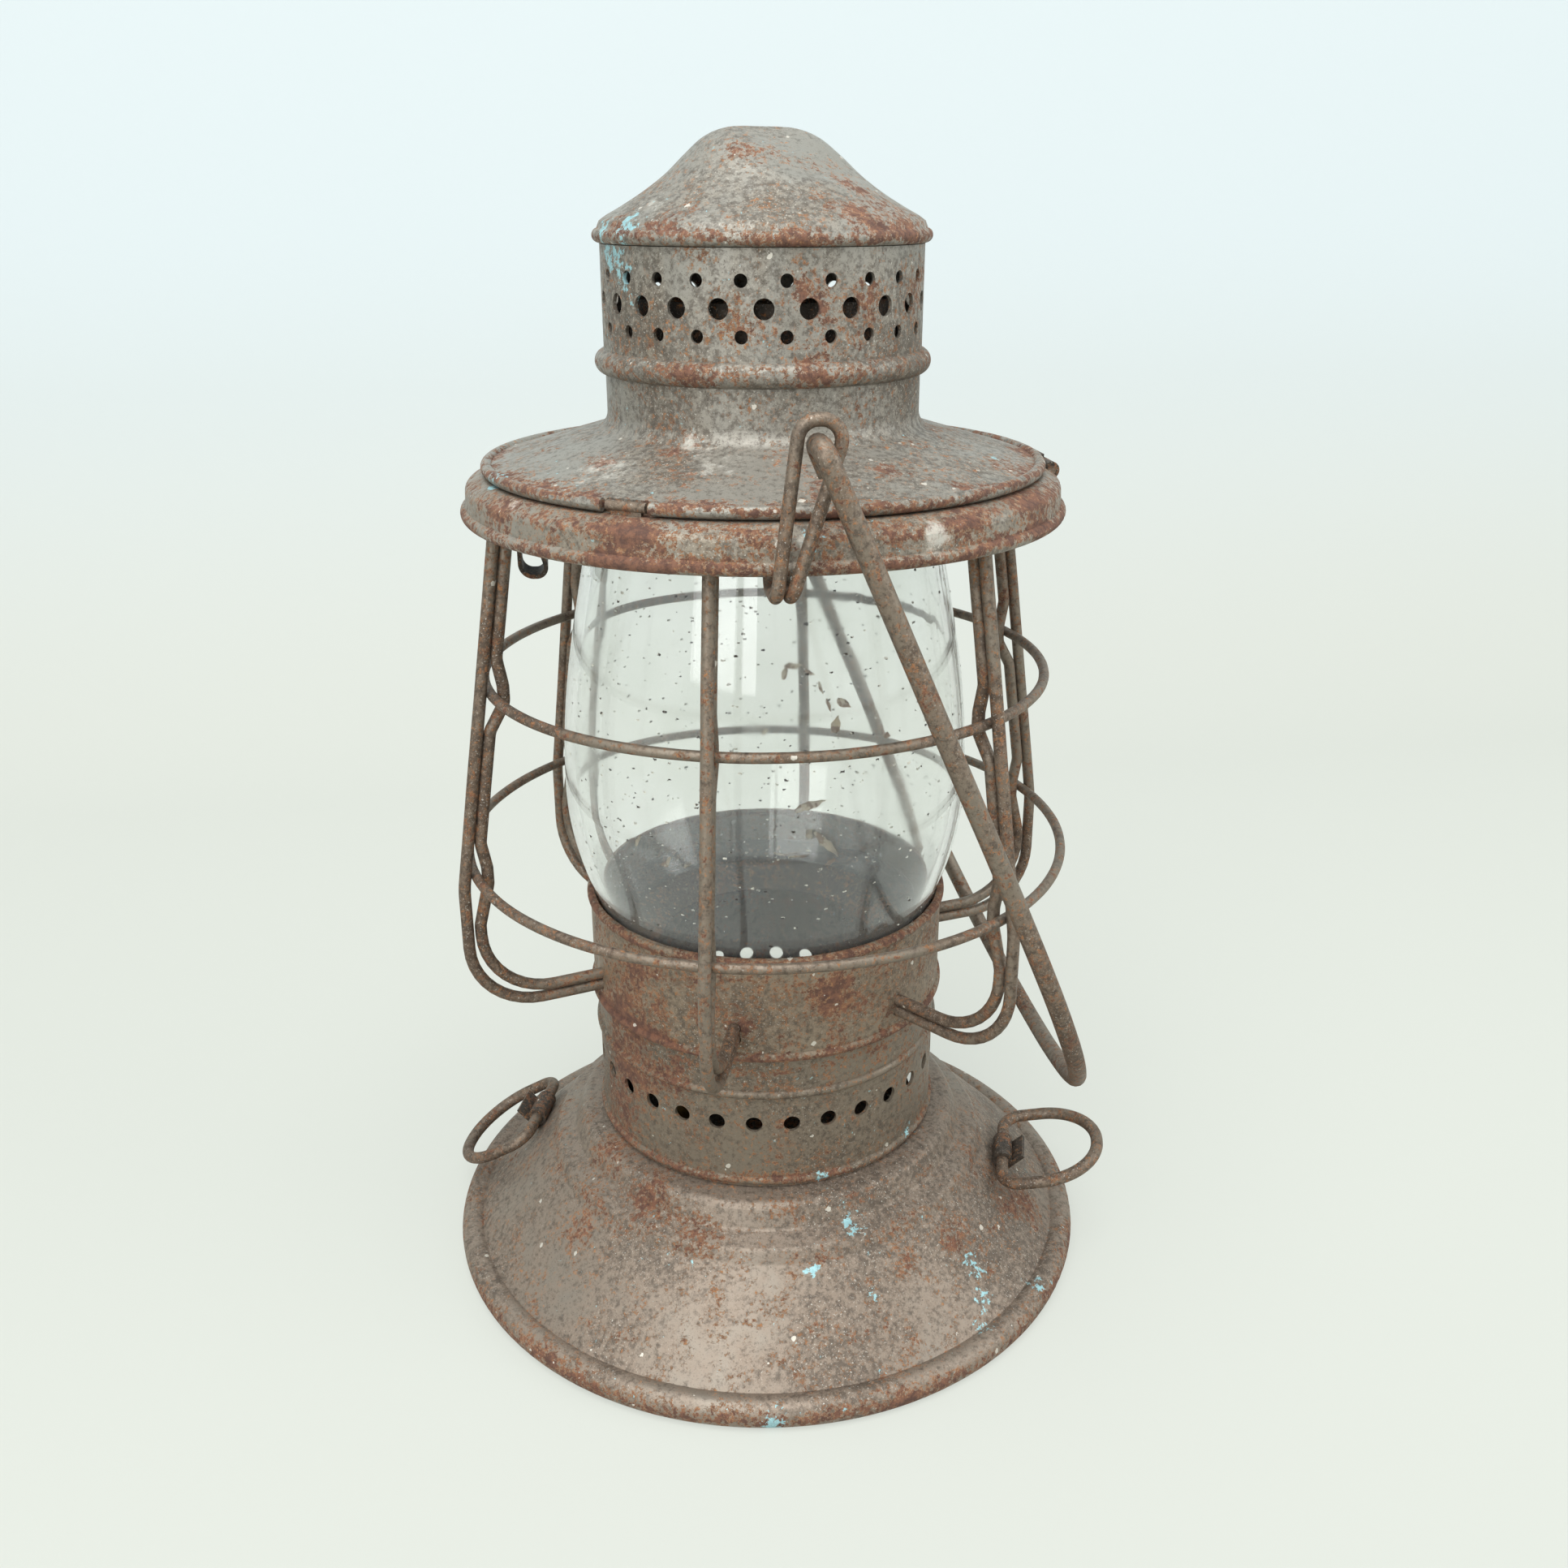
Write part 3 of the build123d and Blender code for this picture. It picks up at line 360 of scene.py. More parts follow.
ventCollarLook = dict(
    plainTin,
    grey=hue(120, 112, 99), brown=hue(121, 108, 93), brownness=0.6,
    rustCover=0.285, rustSize=150.0,
    rustBands=[(37.6, 2.2, 0.6), (68.5, 2.2, 0.35)],
    rustSpots=[
        (polar(42, -60, 60), 17, 0.95), (polar(42, -38, 62), 9, 0.75),
        (polar(42, -66, 44), 13, 0.7), (polar(42, 62, 60), 8, 0.6),
    ],
    paintSpots=[(polar(42.5, 47, 39), 4, 0.8), (polar(42.5, 10, 37.8), 3, 0.9)],
)
bellLook = dict(
    plainTin,
    grey=hue(130, 122, 111), brown=hue(136, 121, 107), brownness=0.6,
    rustCover=0.255, rustSize=140.0,
    rustBands=[(26.0, 2.4, 0.3), (3.0, 3.6, 0.85)],
    rustSpots=[
        (polar(49, -42, 31), 11, 0.85), (polar(51, -25, 28.5), 8, 0.65),
        (polar(47, -62, 34), 12, 0.75), (polar(58, -58, 22), 9, 0.6),
        (polar(60, -28, 20), 5, 0.5), (polar(60, 40, 20.5), 10, 0.6),
        (polar(60, 25, 21), 7, 0.5), (polar(68, 68, 13), 12, 0.6),
        (polar(70, 20, 10), 5, 0.5), (polar(78, 14, 4), 8, 0.5),
        (polar(68, 10, 13), 4, 0.5), (polar(64, 62, 17), 10, 0.6),
    ],
    paintSpots=[
        (polar(51, 15, 29.5), 6, 0.8), (polar(57, 2, 23.8), 4, 0.7),
        (polar(66, 40, 14.5), 6, 0.7), (polar(71, 37, 10), 5, 0.8),
        (polar(75, 34, 6.5), 5, 0.75), (polar(79.6, -7, 2.2), 7, 0.95),
        (polar(77, 50, 6), 7, 0.65), (polar(62, 15, 18), 3, 0.7),
    ],
    specks=0.25,
)
innerTinLook = dict(
    plainTin, grey=hue(70, 68, 64), brown=hue(78, 66, 55), grime=hue(34, 31, 28), brownness=0.55, rustCover=0.31,
)

tinLooks = {
    "smoke_dome": domeLook, "vent_band": ventBandLook, "brim": brimLook, "top_band": topBandLook,
    "globe_collar": globeCollarLook, "vent_collar": ventCollarLook, "bell_base": bellLook,
}


def dressNode(name, material):
    data = nodes[name].data
    data.materials.clear()
    data.materials.append(material)


for name, look in tinLooks.items():
    dressNode(name, tinFinish(name + "Tin", look))
sootTin = tinFinish("sootTin", innerTinLook)
sootNodes = (
    "globe_seat", "draft_tube", "globe_crown", "latch_keeper", "lid_hinge_leaf", "hinge_bracket", "latch_bracket",
    "fount_clips", "fount_pot", "fount_top", "ring_strap_left", "ring_strap_right", "latch_spring",
)
for name in sootNodes:
    dressNode(name, sootTin)


# Rusted wire

wireLook = dict(
    plainTin, grey=hue(124, 114, 101), brown=hue(120, 101, 85), grime=hue(66, 55, 47), brownness=0.5,
    rustCover=0.305, rustSize=190.0, metal=0.6, specks=0.12,
)
wireTin = tinFinish("rustyWire", wireLook)
for name in nodes:
    wired = name.startswith(("guard_", "base_ring", "bail")) or name.endswith("guard_ring")
    if wired or name in ("hinge_pin", "latch_pin", "lid_lug"):
        dressNode(name, wireTin)


# Burner brass and wick

brassLook = dict(
    plainTin, grey=hue(128, 104, 62), brown=hue(112, 84, 50), grime=hue(52, 42, 30), rustCover=0.2, metal=0.7,
)
brassFinish = tinFinish("burnerBrass", brassLook)
for name in ("burner_collar", "burner_deck", "wick_tube", "burner_cone", "wick_wheel", "filler_cap"):
    dressNode(name, brassFinish)
wickLook = dict(plainTin, grey=hue(120, 108, 92), brown=hue(96, 84, 70), rustCover=0.1, metal=0.0)
dressNode("wick", tinFinish("wickCotton", wickLook))


# Clear glass under a thin grey film

def glassFinish():
    material = bpy.data.materials.new("globeGlass")
    material.use_nodes = True
    tree = material.node_tree
    shader = tree.nodes["Principled BSDF"]
    place = put(tree, "ShaderNodeTexCoord").outputs["Object"]
    shader.inputs["Transmission Weight"].default_value = 0.95
    shader.inputs["IOR"].default_value = 1.45
    shader.inputs["Metallic"].default_value = 0.0
    film = cloud(tree, place, 40.0, 6.0, 0.6)
    tree.links.new(fade(tree, film, 0.45, 0.8, 0.02, 0.14), shader.inputs["Roughness"])
    color = tint(tree, fade(tree, film, 0.35, 0.75), hue(254, 255, 254), hue(247, 249, 246))
    tree.links.new(color, shader.inputs["Base Color"])
    return material


dressNode("globe", glassFinish())
print("finishes placed")


# Wires: a path in a radial plane, swept and repeated around the lantern by Geometry Nodes

def makeWireTree():
    tree = bpy.data.node_groups.new("bentWire", "GeometryNodeTree")
    face = tree.interface
    face.new_socket("Path", in_out="INPUT", socket_type="NodeSocketGeometry")
    face.new_socket("Thickness", in_out="INPUT", socket_type="NodeSocketFloat")
    face.new_socket("Places", in_out="INPUT", socket_type="NodeSocketObject")
    face.new_socket("Wobble", in_out="INPUT", socket_type="NodeSocketFloat")
    face.new_socket("Material", in_out="INPUT", socket_type="NodeSocketMaterial")
    face.new_socket("Wire", in_out="OUTPUT", socket_type="NodeSocketGeometry")
    given = tree.nodes.new("NodeGroupInput").outputs
    out = tree.nodes.new("NodeGroupOutput").inputs
    line = put(tree, "GeometryNodeMeshToCurve", {"Mesh": given["Path"]}).outputs[0]
    half = put(tree, "ShaderNodeMath", {0: given["Thickness"], 1: 0.5}, operation="MULTIPLY").outputs[0]
    ring = put(tree, "GeometryNodeCurvePrimitiveCircle", {"Resolution": 14, "Radius": half}).outputs[0]
    wire = put(tree, "GeometryNodeCurveToMesh", {"Curve": line, "Profile Curve": ring, "Fill Caps": True}).outputs[0]
    marks = put(tree, "GeometryNodeObjectInfo", {"Object": given["Places"]}).outputs["Geometry"]
    mark = put(tree, "GeometryNodeInputPosition").outputs[0]
    mark = put(tree, "ShaderNodeSeparateXYZ", {0: mark})
    angle = calc(tree, "ARCTAN2", mark.outputs[0], calc(tree, "MULTIPLY", mark.outputs[1], -1.0))
    euler = put(tree, "ShaderNodeCombineXYZ", {2: angle}).outputs[0]
    turn = put(tree, "FunctionNodeEulerToRotation", {0: euler}).outputs[0]
    copies = put(tree, "GeometryNodeInstanceOnPoints", {"Points": marks, "Instance": wire, "Rotation": turn}).outputs[0]
    start = put(tree, "GeometryNodeInputPosition").outputs[0]
    home = put(tree, "ShaderNodeVectorMath", {0: start, "Scale": -1.0}, operation="SCALE").outputs[0]
    copies = put(tree, "GeometryNodeTranslateInstances", {0: copies, 2: home, 3: False}).outputs[0]
    whole = put(tree, "GeometryNodeRealizeInstances", {0: copies}).outputs[0]
    place = put(tree, "GeometryNodeInputPosition").outputs[0]
    drift = put(tree, "ShaderNodeTexNoise", {"Vector": place, "Scale": 16.0, "Detail": 2.0}).outputs["Color"]
    drift = put(tree, "ShaderNodeVectorMath", {0: drift, 1: (0.5, 0.5, 0.5)}, operation="SUBTRACT").outputs[0]
    drift = put(tree, "ShaderNodeVectorMath", {0: drift, "Scale": given["Wobble"]}, operation="SCALE").outputs[0]
    whole = put(tree, "GeometryNodeSetPosition", {"Geometry": whole, "Offset": drift}).outputs[0]
    whole = put(tree, "GeometryNodeSetShadeSmooth", {"Geometry": whole}).outputs[0]
    whole = put(tree, "GeometryNodeSetMaterial", {"Geometry": whole, "Material": given["Material"]}).outputs[0]
    tree.links.new(whole, out["Wire"])
    return tree


# Marks on a small circle: a wire is repeated at each mark's azimuth
def azimuthMarks(azimuths):
    mesh = bpy.data.meshes.new("azimuthMarks")
    mesh.from_pydata([polar(10.0, azimuth, 0.0) for azimuth in azimuths], [], [])
    return linkPiece("azimuthMarks", mesh)


# Rounds the corners of a path given in mm
def roundedPath(points, radii, steps=10):
    corners = [Vector(p) for p in points]
    path = [corners[0]]
    for before, corner, after, radius in zip(corners, corners[1:], corners[2:], radii):
        back = (before - corner).normalized()
        ahead = (after - corner).normalized()
        half = back.angle(ahead) / 2
        cut = radius / math.tan(half)
        middle = corner + (back + ahead).normalized() * (radius / math.sin(half))
        start = corner + back * cut - middle
        end = corner + ahead * cut - middle
        sweep = start.angle(end)
        for index in range(steps + 1):
            share = index / steps
            arm = start * math.sin((1 - share) * sweep) + end * math.sin(share * sweep)
            path.append(middle + arm / math.sin(sweep))
    path.append(corners[-1])
    return path


def divided(path, step, closed=False):
    fine = []
    ends = path[1:] + path[:1] if closed else path[1:]
    for a, b in zip(path, ends):
        count = max(1, round((b - a).length / step))
        fine += [a + (b - a) * index / count for index in range(count)]
    return fine if closed else fine + [path[-1]]


def linkPiece(name, mesh):
    piece = bpy.data.objects.new(name, mesh)
    scene.collection.objects.link(piece)
    return piece


def pathMesh(name, path, closed=False):
    mesh = bpy.data.meshes.new(name)
    count = len(path)
    edges = [(i, (i + 1) % count) for i in range(count if closed else count - 1)]
    mesh.from_pydata([p / 1000 for p in path], edges, [])
    return mesh


# Runs a Geometry Nodes tree on a starting mesh and keeps the result as a plain mesh
def grown(name, start, tree, settings):
    source = linkPiece(name + "Source", start)
    modifier = source.modifiers.new("grow", "NODES")
    modifier.node_group = tree
    for item in tree.interface.items_tree:
        if item.item_type == "SOCKET" and item.in_out == "INPUT" and item.name in settings:
            modifier[item.identifier] = settings[item.name]
    bpy.context.view_layer.update()
    done = source.evaluated_get(bpy.context.evaluated_depsgraph_get())
    mesh = bpy.data.meshes.new_from_object(done)
    mesh.name = name
    source.modifiers.clear()
    bpy.data.objects.remove(source)
    return linkPiece(name, mesh)


def joinPieces(name, pieces):
    shape = bmesh.new()
    for piece in pieces:
        shape.from_mesh(piece.data)
    mesh = bpy.data.meshes.new(name)
    shape.to_mesh(mesh)
    shape.free()
    for material in pieces[0].data.materials:
        mesh.materials.append(material)
    for piece in pieces:
        bpy.data.objects.remove(piece)
    return linkPiece(name, mesh)


wireTree = makeWireTree()

# Cage: six doubled guards, the inner wire kinked behind the two rings (mm; radius, height)
cage = {
    "azimuths": [-17.5, 37.5, 102.5, 162.5, -137.5, -75.0], "wire": 2.7, "wobble": 0.5,
    "outer": [(59.09, 194.46), (72.95, 106.7), (73.2, 76.0), (41.08, 76.0)], "outerBends": [30.0, 16.0],
    "inner": [
        (56.34, 194.46), (61.91, 159.2), (60.88, 153.2),
        (60.89, 149.2), (64.44, 143.2), (68.51, 117.4), (67.48, 111.4),
        (67.49, 107.4), (70.1, 97.4), (70.05, 78.85), (41.08, 78.85),
    ],
    "innerBends": [5.0] * 8 + [16.0],
    "ringWire": 2.25, "rings": {"upper_guard_ring": (63.4, 151.2), "lower_guard_ring": (70.0, 109.4)},
}


def buildCage(look):
    around = azimuthMarks(look["azimuths"])
    once = azimuthMarks([0.0])

    def guard(name, line, bends):
        corners = [[1000 * c for c in polar(r, 0.0, z)] for r, z in line]
        path = divided(roundedPath(corners, bends), 2.5)
        return grown(name, pathMesh(name, path), wireTree, {
            "Thickness": look["wire"] / 1000, "Places": around, "Wobble": look["wobble"] / 1000, "Material": wireTin,
        })

    guards = joinPieces("cageGuards", [
        guard("outerGuard", look["outer"], look["outerBends"]), guard("innerGuard", look["inner"], look["innerBends"]),
    ])
    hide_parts(*[f"guard_{side}_{i + 1}" for side in ("outer", "inner") for i in range(len(look["azimuths"]))])
    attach(guards, "frame")
    for node, (radius, height) in look["rings"].items():
        loop = [Vector(polar(radius, i * 2.0, height)) * 1000 for i in range(180)]
        ring = grown(node + "Wire", pathMesh(node + "Wire", loop, True), wireTree, {
            "Thickness": look["ringWire"] / 1000, "Places": once, "Wobble": look["wobble"] / 1000, "Material": wireTin,
        })
        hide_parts(node)
        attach(ring, "frame")
    bpy.data.objects.remove(around)
    bpy.data.objects.remove(once)


buildCage(cage)
print("cage bent")


# Bail: bent wire, hooked into the eyes of the two ears (mm, degrees)
bailWire = {
    "wire": 4.1, "pivot": 210.6, "hang": 23.8, "side": 73.05, "inside": 65.55, "leg": 106.0, "hook": 6.0, "bend": 2.46,
    "wobble": 0.7,
}


def buildBail(look):
    hang = math.radians(look["hang"])

    def along(distance, side):
        return (distance * math.sin(hang), side, look["pivot"] - distance * math.cos(hang))

    near = roundedPath(
        [
            along(look["hook"], -look["inside"]), along(0, -look["inside"]),
            along(0, -look["side"]), along(look["leg"], -look["side"]),
        ],
        [look["bend"]] * 2,
    )
    bow = []
    for index in range(1, 60):
        turn = math.pi * index / 60
        bow.append(Vector(along(look["leg"] + look["side"] * math.sin(turn), -look["side"] * math.cos(turn))))
    far = [Vector((p.x, -p.y, p.z)) for p in reversed(near)]
    path = divided(near + bow + far, 3.0)
    once = azimuthMarks([0.0])
    bail = grown("bailHoop", pathMesh("bailHoop", path), wireTree, {
        "Thickness": look["wire"] / 1000, "Places": once, "Wobble": look["wobble"] / 1000, "Material": wireTin,
    })
    bpy.data.objects.remove(once)
    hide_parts("bail")
    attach(bail, "bail")


buildBail(bailWire)
print("bail bent")


# Turned shells: a closed outline (mm; radius, height) spun round the axis, moved by bend(point)
def turnedShell(name, outline, segments, bend=None):
    shape = bmesh.new()
    rings = []
    for radius, height in outline:
        if radius < 1e-6:
            rings.append([shape.verts.new((0.0, 0.0, height))])
        else:
            spots = [Vector(polar(radius, 360 * k / segments, height)) * 1000 for k in range(segments)]
            rings.append([shape.verts.new(spot) for spot in spots])
    for a, b in zip(rings, rings[1:] + rings[:1]):
        for k in range(segments):
            n = (k + 1) % segments
            corners = [a[k % len(a)], a[n % len(a)], b[n % len(b)], b[k % len(b)]]
            unique = list(dict.fromkeys(corners))
            if len(unique) > 2:
                shape.faces.new(unique)
    if bend:
        for vert in shape.verts:
            vert.co = bend(vert.co.copy())
    for vert in shape.verts:
        vert.co = vert.co / 1000
    bmesh.ops.recalc_face_normals(shape, faces=shape.faces)
    for face in shape.faces:
        face.smooth = True
    mesh = bpy.data.meshes.new(name)
    shape.to_mesh(mesh)
    shape.free()
    return linkPiece(name, mesh)


def smoothLine(points, steps=6):
    line = []
    count = len(points)
    for i in range(count - 1):
        p0, p1, p2, p3 = (Vector(points[max(0, min(count - 1, i + k))]) for k in (-1, 0, 1, 2))
        for s in range(steps):
            t = s / steps
            square = (2 * p0 - 5 * p1 + 4 * p2 - p3) * t * t
            cube = (3 * p1 - p0 - 3 * p2 + p3) * t ** 3
            line.append(0.5 * ((2 * p1) + (p2 - p0) * t + square + cube))
    line.append(Vector(points[-1]))
    return [(p.x, p.y) for p in line]


def rollArc(middle, radius, start, end, steps):
    return [
        (middle[0] + radius * math.cos(math.radians(start + (end - start) * k / steps)),
         middle[1] + radius * math.sin(math.radians(start + (end - start) * k / steps)))
        for k in range(steps + 1)
    ]


# Smoke dome: turned cap, pushed in on top a little to the front right (mm)
domeShape = {
    "line": [
        (0.0, 263.3), (4.0, 263.3), (8.0, 262.9), (12.0, 261.2),
        (16.0, 257.9), (20.0, 254.25), (24.5, 251.0), (29.0, 248.3),
        (32.0, 246.7), (33.6, 245.6),
    ],
    "roll": (33.75, 242.9), "rollRadius": 1.45, "wall": 0.8, "dent": (5.5, -9.5), "dentReach": (15.0, 11.5), "dentDepth": 3.4,
    "waviness": 0.25,
}


def buildDome(look):
    top = smoothLine(look["line"], 5)
    roll = rollArc(look["roll"], look["rollRadius"], 75, -170, 16)
    under = [(max(0.0, r - look["wall"] * 0.7), z - look["wall"]) for r, z in reversed(top)]
    outline = top + roll + under

    def pushedIn(point):
        across = (point.x - look["dent"][0]) / look["dentReach"][0]
        along = (point.y - look["dent"][1]) / look["dentReach"][1]
        sag = max(0.0, 1.0 - across * across - along * along)
        high = min(1.0, max(0.0, (point.z - 250.0) / 5.0))
        outward = Vector((point.x, point.y, 0.0)).normalized()
        ripple = noise.noise(point * 0.07) * look["waviness"] * min(1.0, outward.length)
        return point + outward * ripple - Vector((0.0, 0.0, look["dentDepth"] * high * sag ** 1.5))

    dome = turnedShell("dentedDome", outline, 160, pushedIn)
    dome.data.materials.append(nodes["smoke_dome"].data.materials[0])
    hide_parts("smoke_dome")
    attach(dome, "lid")


buildDome(domeShape)
print("dome turned and dented")


# Dust on the globe: flat crumbs scattered over the glass by Geometry Nodes

def makeCrumbTree():
    tree = bpy.data.node_groups.new("scatteredCrumbs", "GeometryNodeTree")
    face = tree.interface
    face.new_socket("Surface", in_out="INPUT", socket_type="NodeSocketGeometry")
    face.new_socket("Density", in_out="INPUT", socket_type="NodeSocketFloat")
    face.new_socket("Seed", in_out="INPUT", socket_type="NodeSocketInt")
    face.new_socket("Length", in_out="INPUT", socket_type="NodeSocketFloat")
    face.new_socket("Curl", in_out="INPUT", socket_type="NodeSocketFloat")
    face.new_socket("Material", in_out="INPUT", socket_type="NodeSocketMaterial")
    face.new_socket("Crumbs", in_out="OUTPUT", socket_type="NodeSocketGeometry")
    given = tree.nodes.new("NodeGroupInput").outputs
    out = tree.nodes.new("NodeGroupOutput").inputs
    spread = put(tree, "GeometryNodeDistributePointsOnFaces", {
        "Mesh": given["Surface"], "Density": given["Density"], "Seed": given["Seed"],
    })
    width = put(tree, "ShaderNodeMath", {0: given["Length"], 1: 0.55}, operation="MULTIPLY").outputs[0]
    flake = put(tree, "GeometryNodeMeshGrid", {
        "Size X": given["Length"], "Size Y": width, "Vertices X": 4, "Vertices Y": 3,
    }).outputs[0]
    size = put(tree, "FunctionNodeRandomValue", {2: 0.25, 3: 1.0, "Seed": 3}, data_type="FLOAT").outputs[1]
    size = put(tree, "ShaderNodeMath", {0: size, 1: 1.8}, operation="POWER").outputs[0]
    copies = put(tree, "GeometryNodeInstanceOnPoints", {
        "Points": spread.outputs["Points"], "Instance": flake, "Rotation": spread.outputs["Rotation"], "Scale": size,
    }).outputs[0]
    spin = put(tree, "FunctionNodeRandomValue", {
        0: (-0.5, -0.5, -3.14), 1: (0.5, 0.5, 3.14), "Seed": 5,
    }, data_type="FLOAT_VECTOR")
    copies = put(tree, "GeometryNodeRotateInstances", {0: copies, 1: spin.outputs[0]}).outputs[0]
    whole = put(tree, "GeometryNodeRealizeInstances", {0: copies}).outputs[0]
    place = put(tree, "GeometryNodeInputPosition").outputs[0]
    drift = put(tree, "ShaderNodeTexNoise", {"Vector": place, "Scale": 4000.0, "Detail": 1.0}).outputs["Color"]
    drift = put(tree, "ShaderNodeVectorMath", {0: drift, 1: (0.5, 0.5, 0.5)}, operation="SUBTRACT").outputs[0]
    drift = put(tree, "ShaderNodeVectorMath", {0: drift, "Scale": given["Curl"]}, operation="SCALE").outputs[0]
    whole = put(tree, "GeometryNodeSetPosition", {"Geometry": whole, "Offset": drift}).outputs[0]
    whole = put(tree, "GeometryNodeSetMaterial", {"Geometry": whole, "Material": given["Material"]}).outputs[0]
    tree.links.new(whole, out["Crumbs"])
    return tree


def litterFinish(name, pale, dark, scale):
    material = bpy.data.materials.new(name)
    material.use_nodes = True
    tree = material.node_tree
    shader = tree.nodes["Principled BSDF"]
    place = put(tree, "ShaderNodeTexCoord").outputs["Object"]
    mottle = fade(tree, cloud(tree, place, scale, 3.0), 0.46, 0.54)
    tree.links.new(tint(tree, mottle, pale, dark), shader.inputs["Base Color"])
    shader.inputs["Roughness"].default_value = 0.85
    return material


globeDust = {"density": 34000.0, "seed": 11, "length": 0.95, "curl": 0.6}


def dustGlobe(look):
    finish = litterFinish("globeDust", hue(214, 210, 198), hue(56, 46, 38), 420.0)
    dust = grown("globeDust", nodes["globe"].data.copy(), makeCrumbTree(), {
        "Density": look["density"], "Seed": look["seed"], "Length": look["length"] / 1000, "Curl": look["curl"] / 1000,
        "Material": finish,
    })
    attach(dust, "frame")


dustGlobe(globeDust)
print("globe dusted")


# Dry husks in degrees and mm: on the far wall of the globe (azimuth, height, turn, length, width)
# and lying on its seat (radius, azimuth, turn, length, width)
litter = {
    "wall": [
        (154.0, 99.5, 28.0, 10.0, 2.2), (144.0, 90.5, -42.0, 9.5, 2.6),
        (153.0, 92.5, 60.0, 3.5, 2.0), (146.0, 121.5, 75.0, 5.0, 2.6),
        (162.0, 136.5, 10.0, 5.0, 1.6), (165.0, 134.5, 70.0, 3.6, 1.4),
        (156.0, 135.0, -20.0, 3.0, 1.0), (152.0, 131.0, -70.0, 3.6, 0.8),
        (149.0, 126.5, -65.0, 3.6, 0.9), (143.0, 128.0, -25.0, 4.2, 2.4),
        (124.5, 122.0, 15.0, 2.6, 1.4), (-139.0, 89.5, 12.0, 4.0, 2.0),
        (-127.0, 97.5, 40.0, 3.6, 1.8), (172.0, 118.0, 50.0, 2.6, 0.8),
    ],
    "seat": [
        (33.0, 156.0, 20.0, 6.5, 1.8), (34.5, 163.0, -10.0, 6.5, 1.2),
        (33.0, 140.0, 35.0, 4.0, 1.6), (34.0, -150.0, 70.0, 4.6, 1.6),
    ],
    "seatHeight": 85.6, "curl": 0.8, "gap": 0.3,
}


def layLitter(look):
    shape = bmesh.new()

    def husk(spot, out, turn, length, width):
        side = Vector((0.0, 0.0, 1.0)).cross(out)
        side = side.normalized() if side.length > 0.1 else Vector((1.0, 0.0, 0.0))
        rise = out.cross(side)
        ahead = side * math.cos(math.radians(turn)) + rise * math.sin(math.radians(turn))
        across = out.cross(ahead)
        rows = []
        for step in range(9):
            share = step / 8
            half = width / 2 * math.sin(math.pi * min(1.0, share + 0.06)) ** 0.8 + 0.08
            lift = look["curl"] * (0.4 * math.sin(5.0 * share + turn) + 0.5)
            middle = spot + ahead * length * (share - 0.5) + out * (lift + look["gap"])
            ragged = 0.3 * width * noise.noise(middle * 0.9)
            cupped = out * 0.25 * width
            rows.append([
                shape.verts.new(middle + across * (edge * half + ragged) + cupped * edge * edge)
                for edge in (-1, -0.4, 0.4, 1)
            ])
        for a, b in zip(rows, rows[1:]):
            for k in range(3):
                shape.faces.new((a[k], a[k + 1], b[k + 1], b[k])).smooth = True

    for azimuth, height, turn, length, width in look["wall"]:
        way = Vector(polar(1000, azimuth, 0))
        hit = nodes["globe"].ray_cast(Vector((0.0, 0.0, height / 1000)), way)
        husk(hit[1] * 1000, -way, turn, length, width)
    for radius, azimuth, turn, length, width in look["seat"]:
        husk(Vector(polar(radius, azimuth, look["seatHeight"])) * 1000, Vector((0.0, 0.0, 1.0)), turn, length, width)
    for vert in shape.verts:
        vert.co = vert.co / 1000
    mesh = bpy.data.meshes.new("dryHusks")
    shape.to_mesh(mesh)
    shape.free()
    mesh.materials.append(litterFinish("dryHusk", hue(204, 188, 160), hue(146, 118, 92), 300.0))
    husks = linkPiece("dryHusks", mesh)
    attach(husks, "frame")


layLitter(litter)
print("husks laid")


# Floor, backdrop and light

stageLook = {"depth": 0.30, "bend": 0.16, "height": 1.6, "half": 1.8, "front": -1.2}


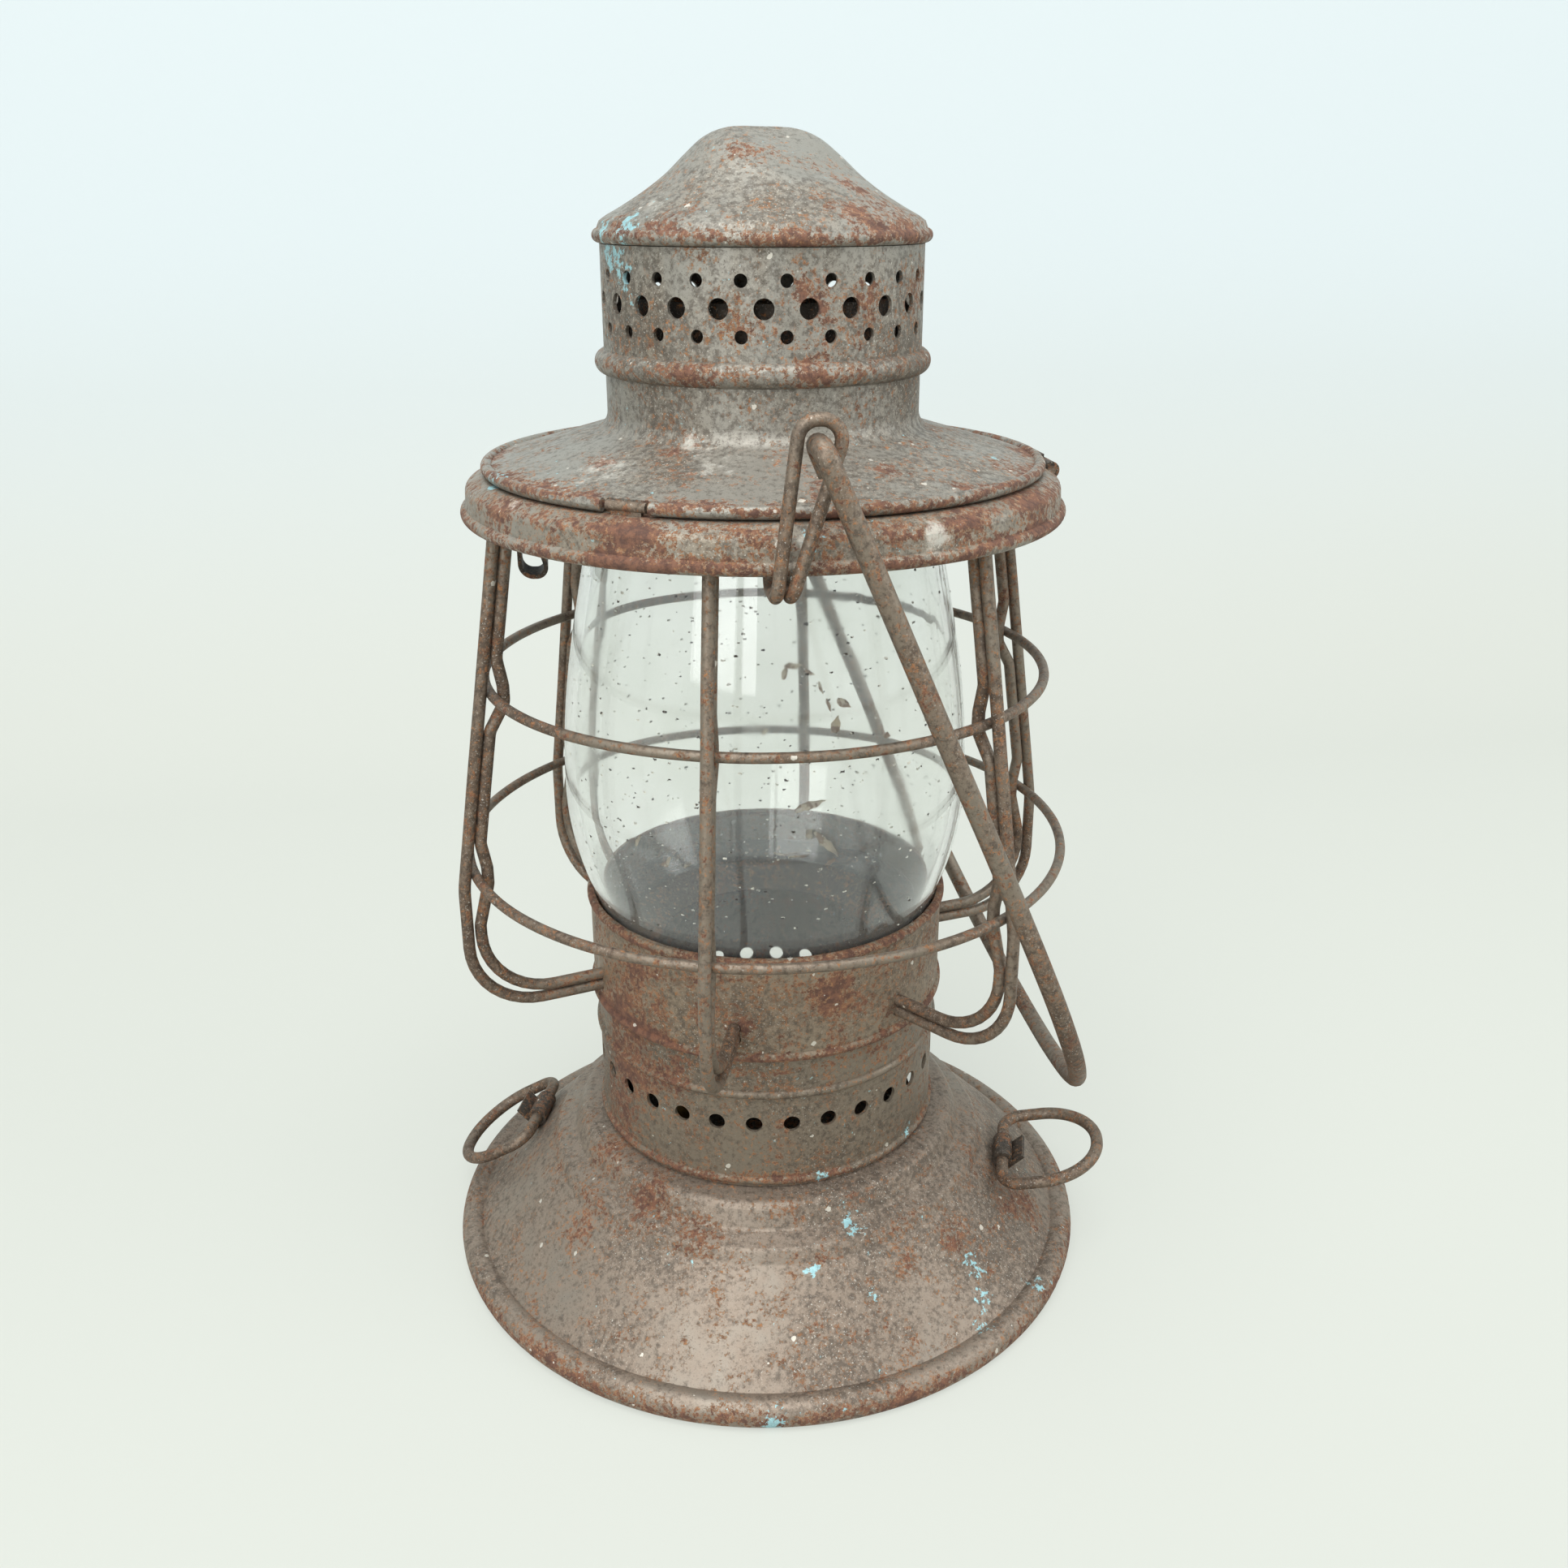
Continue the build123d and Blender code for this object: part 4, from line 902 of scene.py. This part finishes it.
def buildBackdrop(look):
    shape = bmesh.new()
    line = [(look["front"], 0.0), (look["depth"], 0.0)]
    for step in range(1, 13):
        angle = step / 12 * math.pi / 2
        line.append((look["depth"] + look["bend"] * math.sin(angle), look["bend"] * (1 - math.cos(angle))))
    line.append((look["depth"] + look["bend"], look["height"]))
    rows = [[shape.verts.new((side * look["half"], y, z)) for y, z in line] for side in (-1, 1)]
    for index in range(len(line) - 1):
        shape.faces.new((rows[0][index], rows[1][index], rows[1][index + 1], rows[0][index + 1]))
    mesh = bpy.data.meshes.new("backdrop")
    shape.to_mesh(mesh)
    shape.free()
    for face in mesh.polygons:
        face.use_smooth = True
    backdrop = bpy.data.objects.new("backdrop", mesh)
    scene.collection.objects.link(backdrop)
    material = bpy.data.materials.new("paleFloor")
    material.use_nodes = True
    tree = material.node_tree
    tree.nodes.remove(tree.nodes["Principled BSDF"])
    path = put(tree, "ShaderNodeLightPath")
    seen = calc(tree, "MAXIMUM", path.outputs["Is Camera Ray"], path.outputs["Is Glossy Ray"])
    seen = calc(tree, "MAXIMUM", seen, path.outputs["Is Transmission Ray"])
    height = put(tree, "ShaderNodeSeparateXYZ", {0: put(tree, "ShaderNodeTexCoord").outputs["Object"]}).outputs[2]
    color = tint(tree, fade(tree, height, 0.0, 0.25), hue(240, 245, 237), hue(243, 253, 254))
    cloth = tint(tree, fade(tree, height, 0.0, 0.25), hue(180, 182, 174), hue(190, 201, 203))
    lit = put(tree, "ShaderNodeBsdfDiffuse", {"Color": cloth}).outputs[0]
    glow = put(tree, "ShaderNodeEmission", {"Color": color, "Strength": 1.0}).outputs[0]
    mixed = put(tree, "ShaderNodeMixShader", {0: calc(tree, "MULTIPLY", seen, 0.6), 1: lit, 2: glow})
    tree.links.new(mixed.outputs[0], tree.nodes["Material Output"].inputs["Surface"])
    mesh.materials.append(material)


buildBackdrop(stageLook)

lamps = {
    "overheadPanel": {"place": (-0.15, -0.35, 1.1), "aim": (0.0, 0.0, 0.12), "size": 0.9, "power": 12.0},
    "frontPanel": {"place": (-0.55, -0.9, 0.55), "aim": (0.0, 0.0, 0.13), "size": 0.8, "power": 6.5},
    "sidePanel": {"place": (0.9, -0.3, 0.6), "aim": (0.0, 0.0, 0.12), "size": 0.7, "power": 4.2},
}


def hangLamps(kit):
    for name, lamp in kit.items():
        data = bpy.data.lights.new(name, "AREA")
        data.size = lamp["size"]
        data.energy = lamp["power"]
        piece = bpy.data.objects.new(name, data)
        piece.location = lamp["place"]
        way = Vector(lamp["aim"]) - Vector(lamp["place"])
        piece.rotation_euler = way.to_track_quat("-Z", "Y").to_euler()
        scene.collection.objects.link(piece)


hangLamps(lamps)


def lightWorld():
    world = bpy.data.worlds.new("studio")
    world.use_nodes = True
    scene.world = world
    back = world.node_tree.nodes["Background"]
    back.inputs["Color"].default_value = hue(240, 250, 250)
    tree = world.node_tree
    path = put(tree, "ShaderNodeLightPath").outputs
    seen = calc(tree, "MAXIMUM", path["Is Glossy Ray"], path["Is Transmission Ray"])
    seen = calc(tree, "MAXIMUM", path["Is Camera Ray"], seen)
    tree.links.new(fade(tree, seen, 0.0, 1.0, 0.6, 0.92), back.inputs["Strength"])


lightWorld()
print("stage lit")
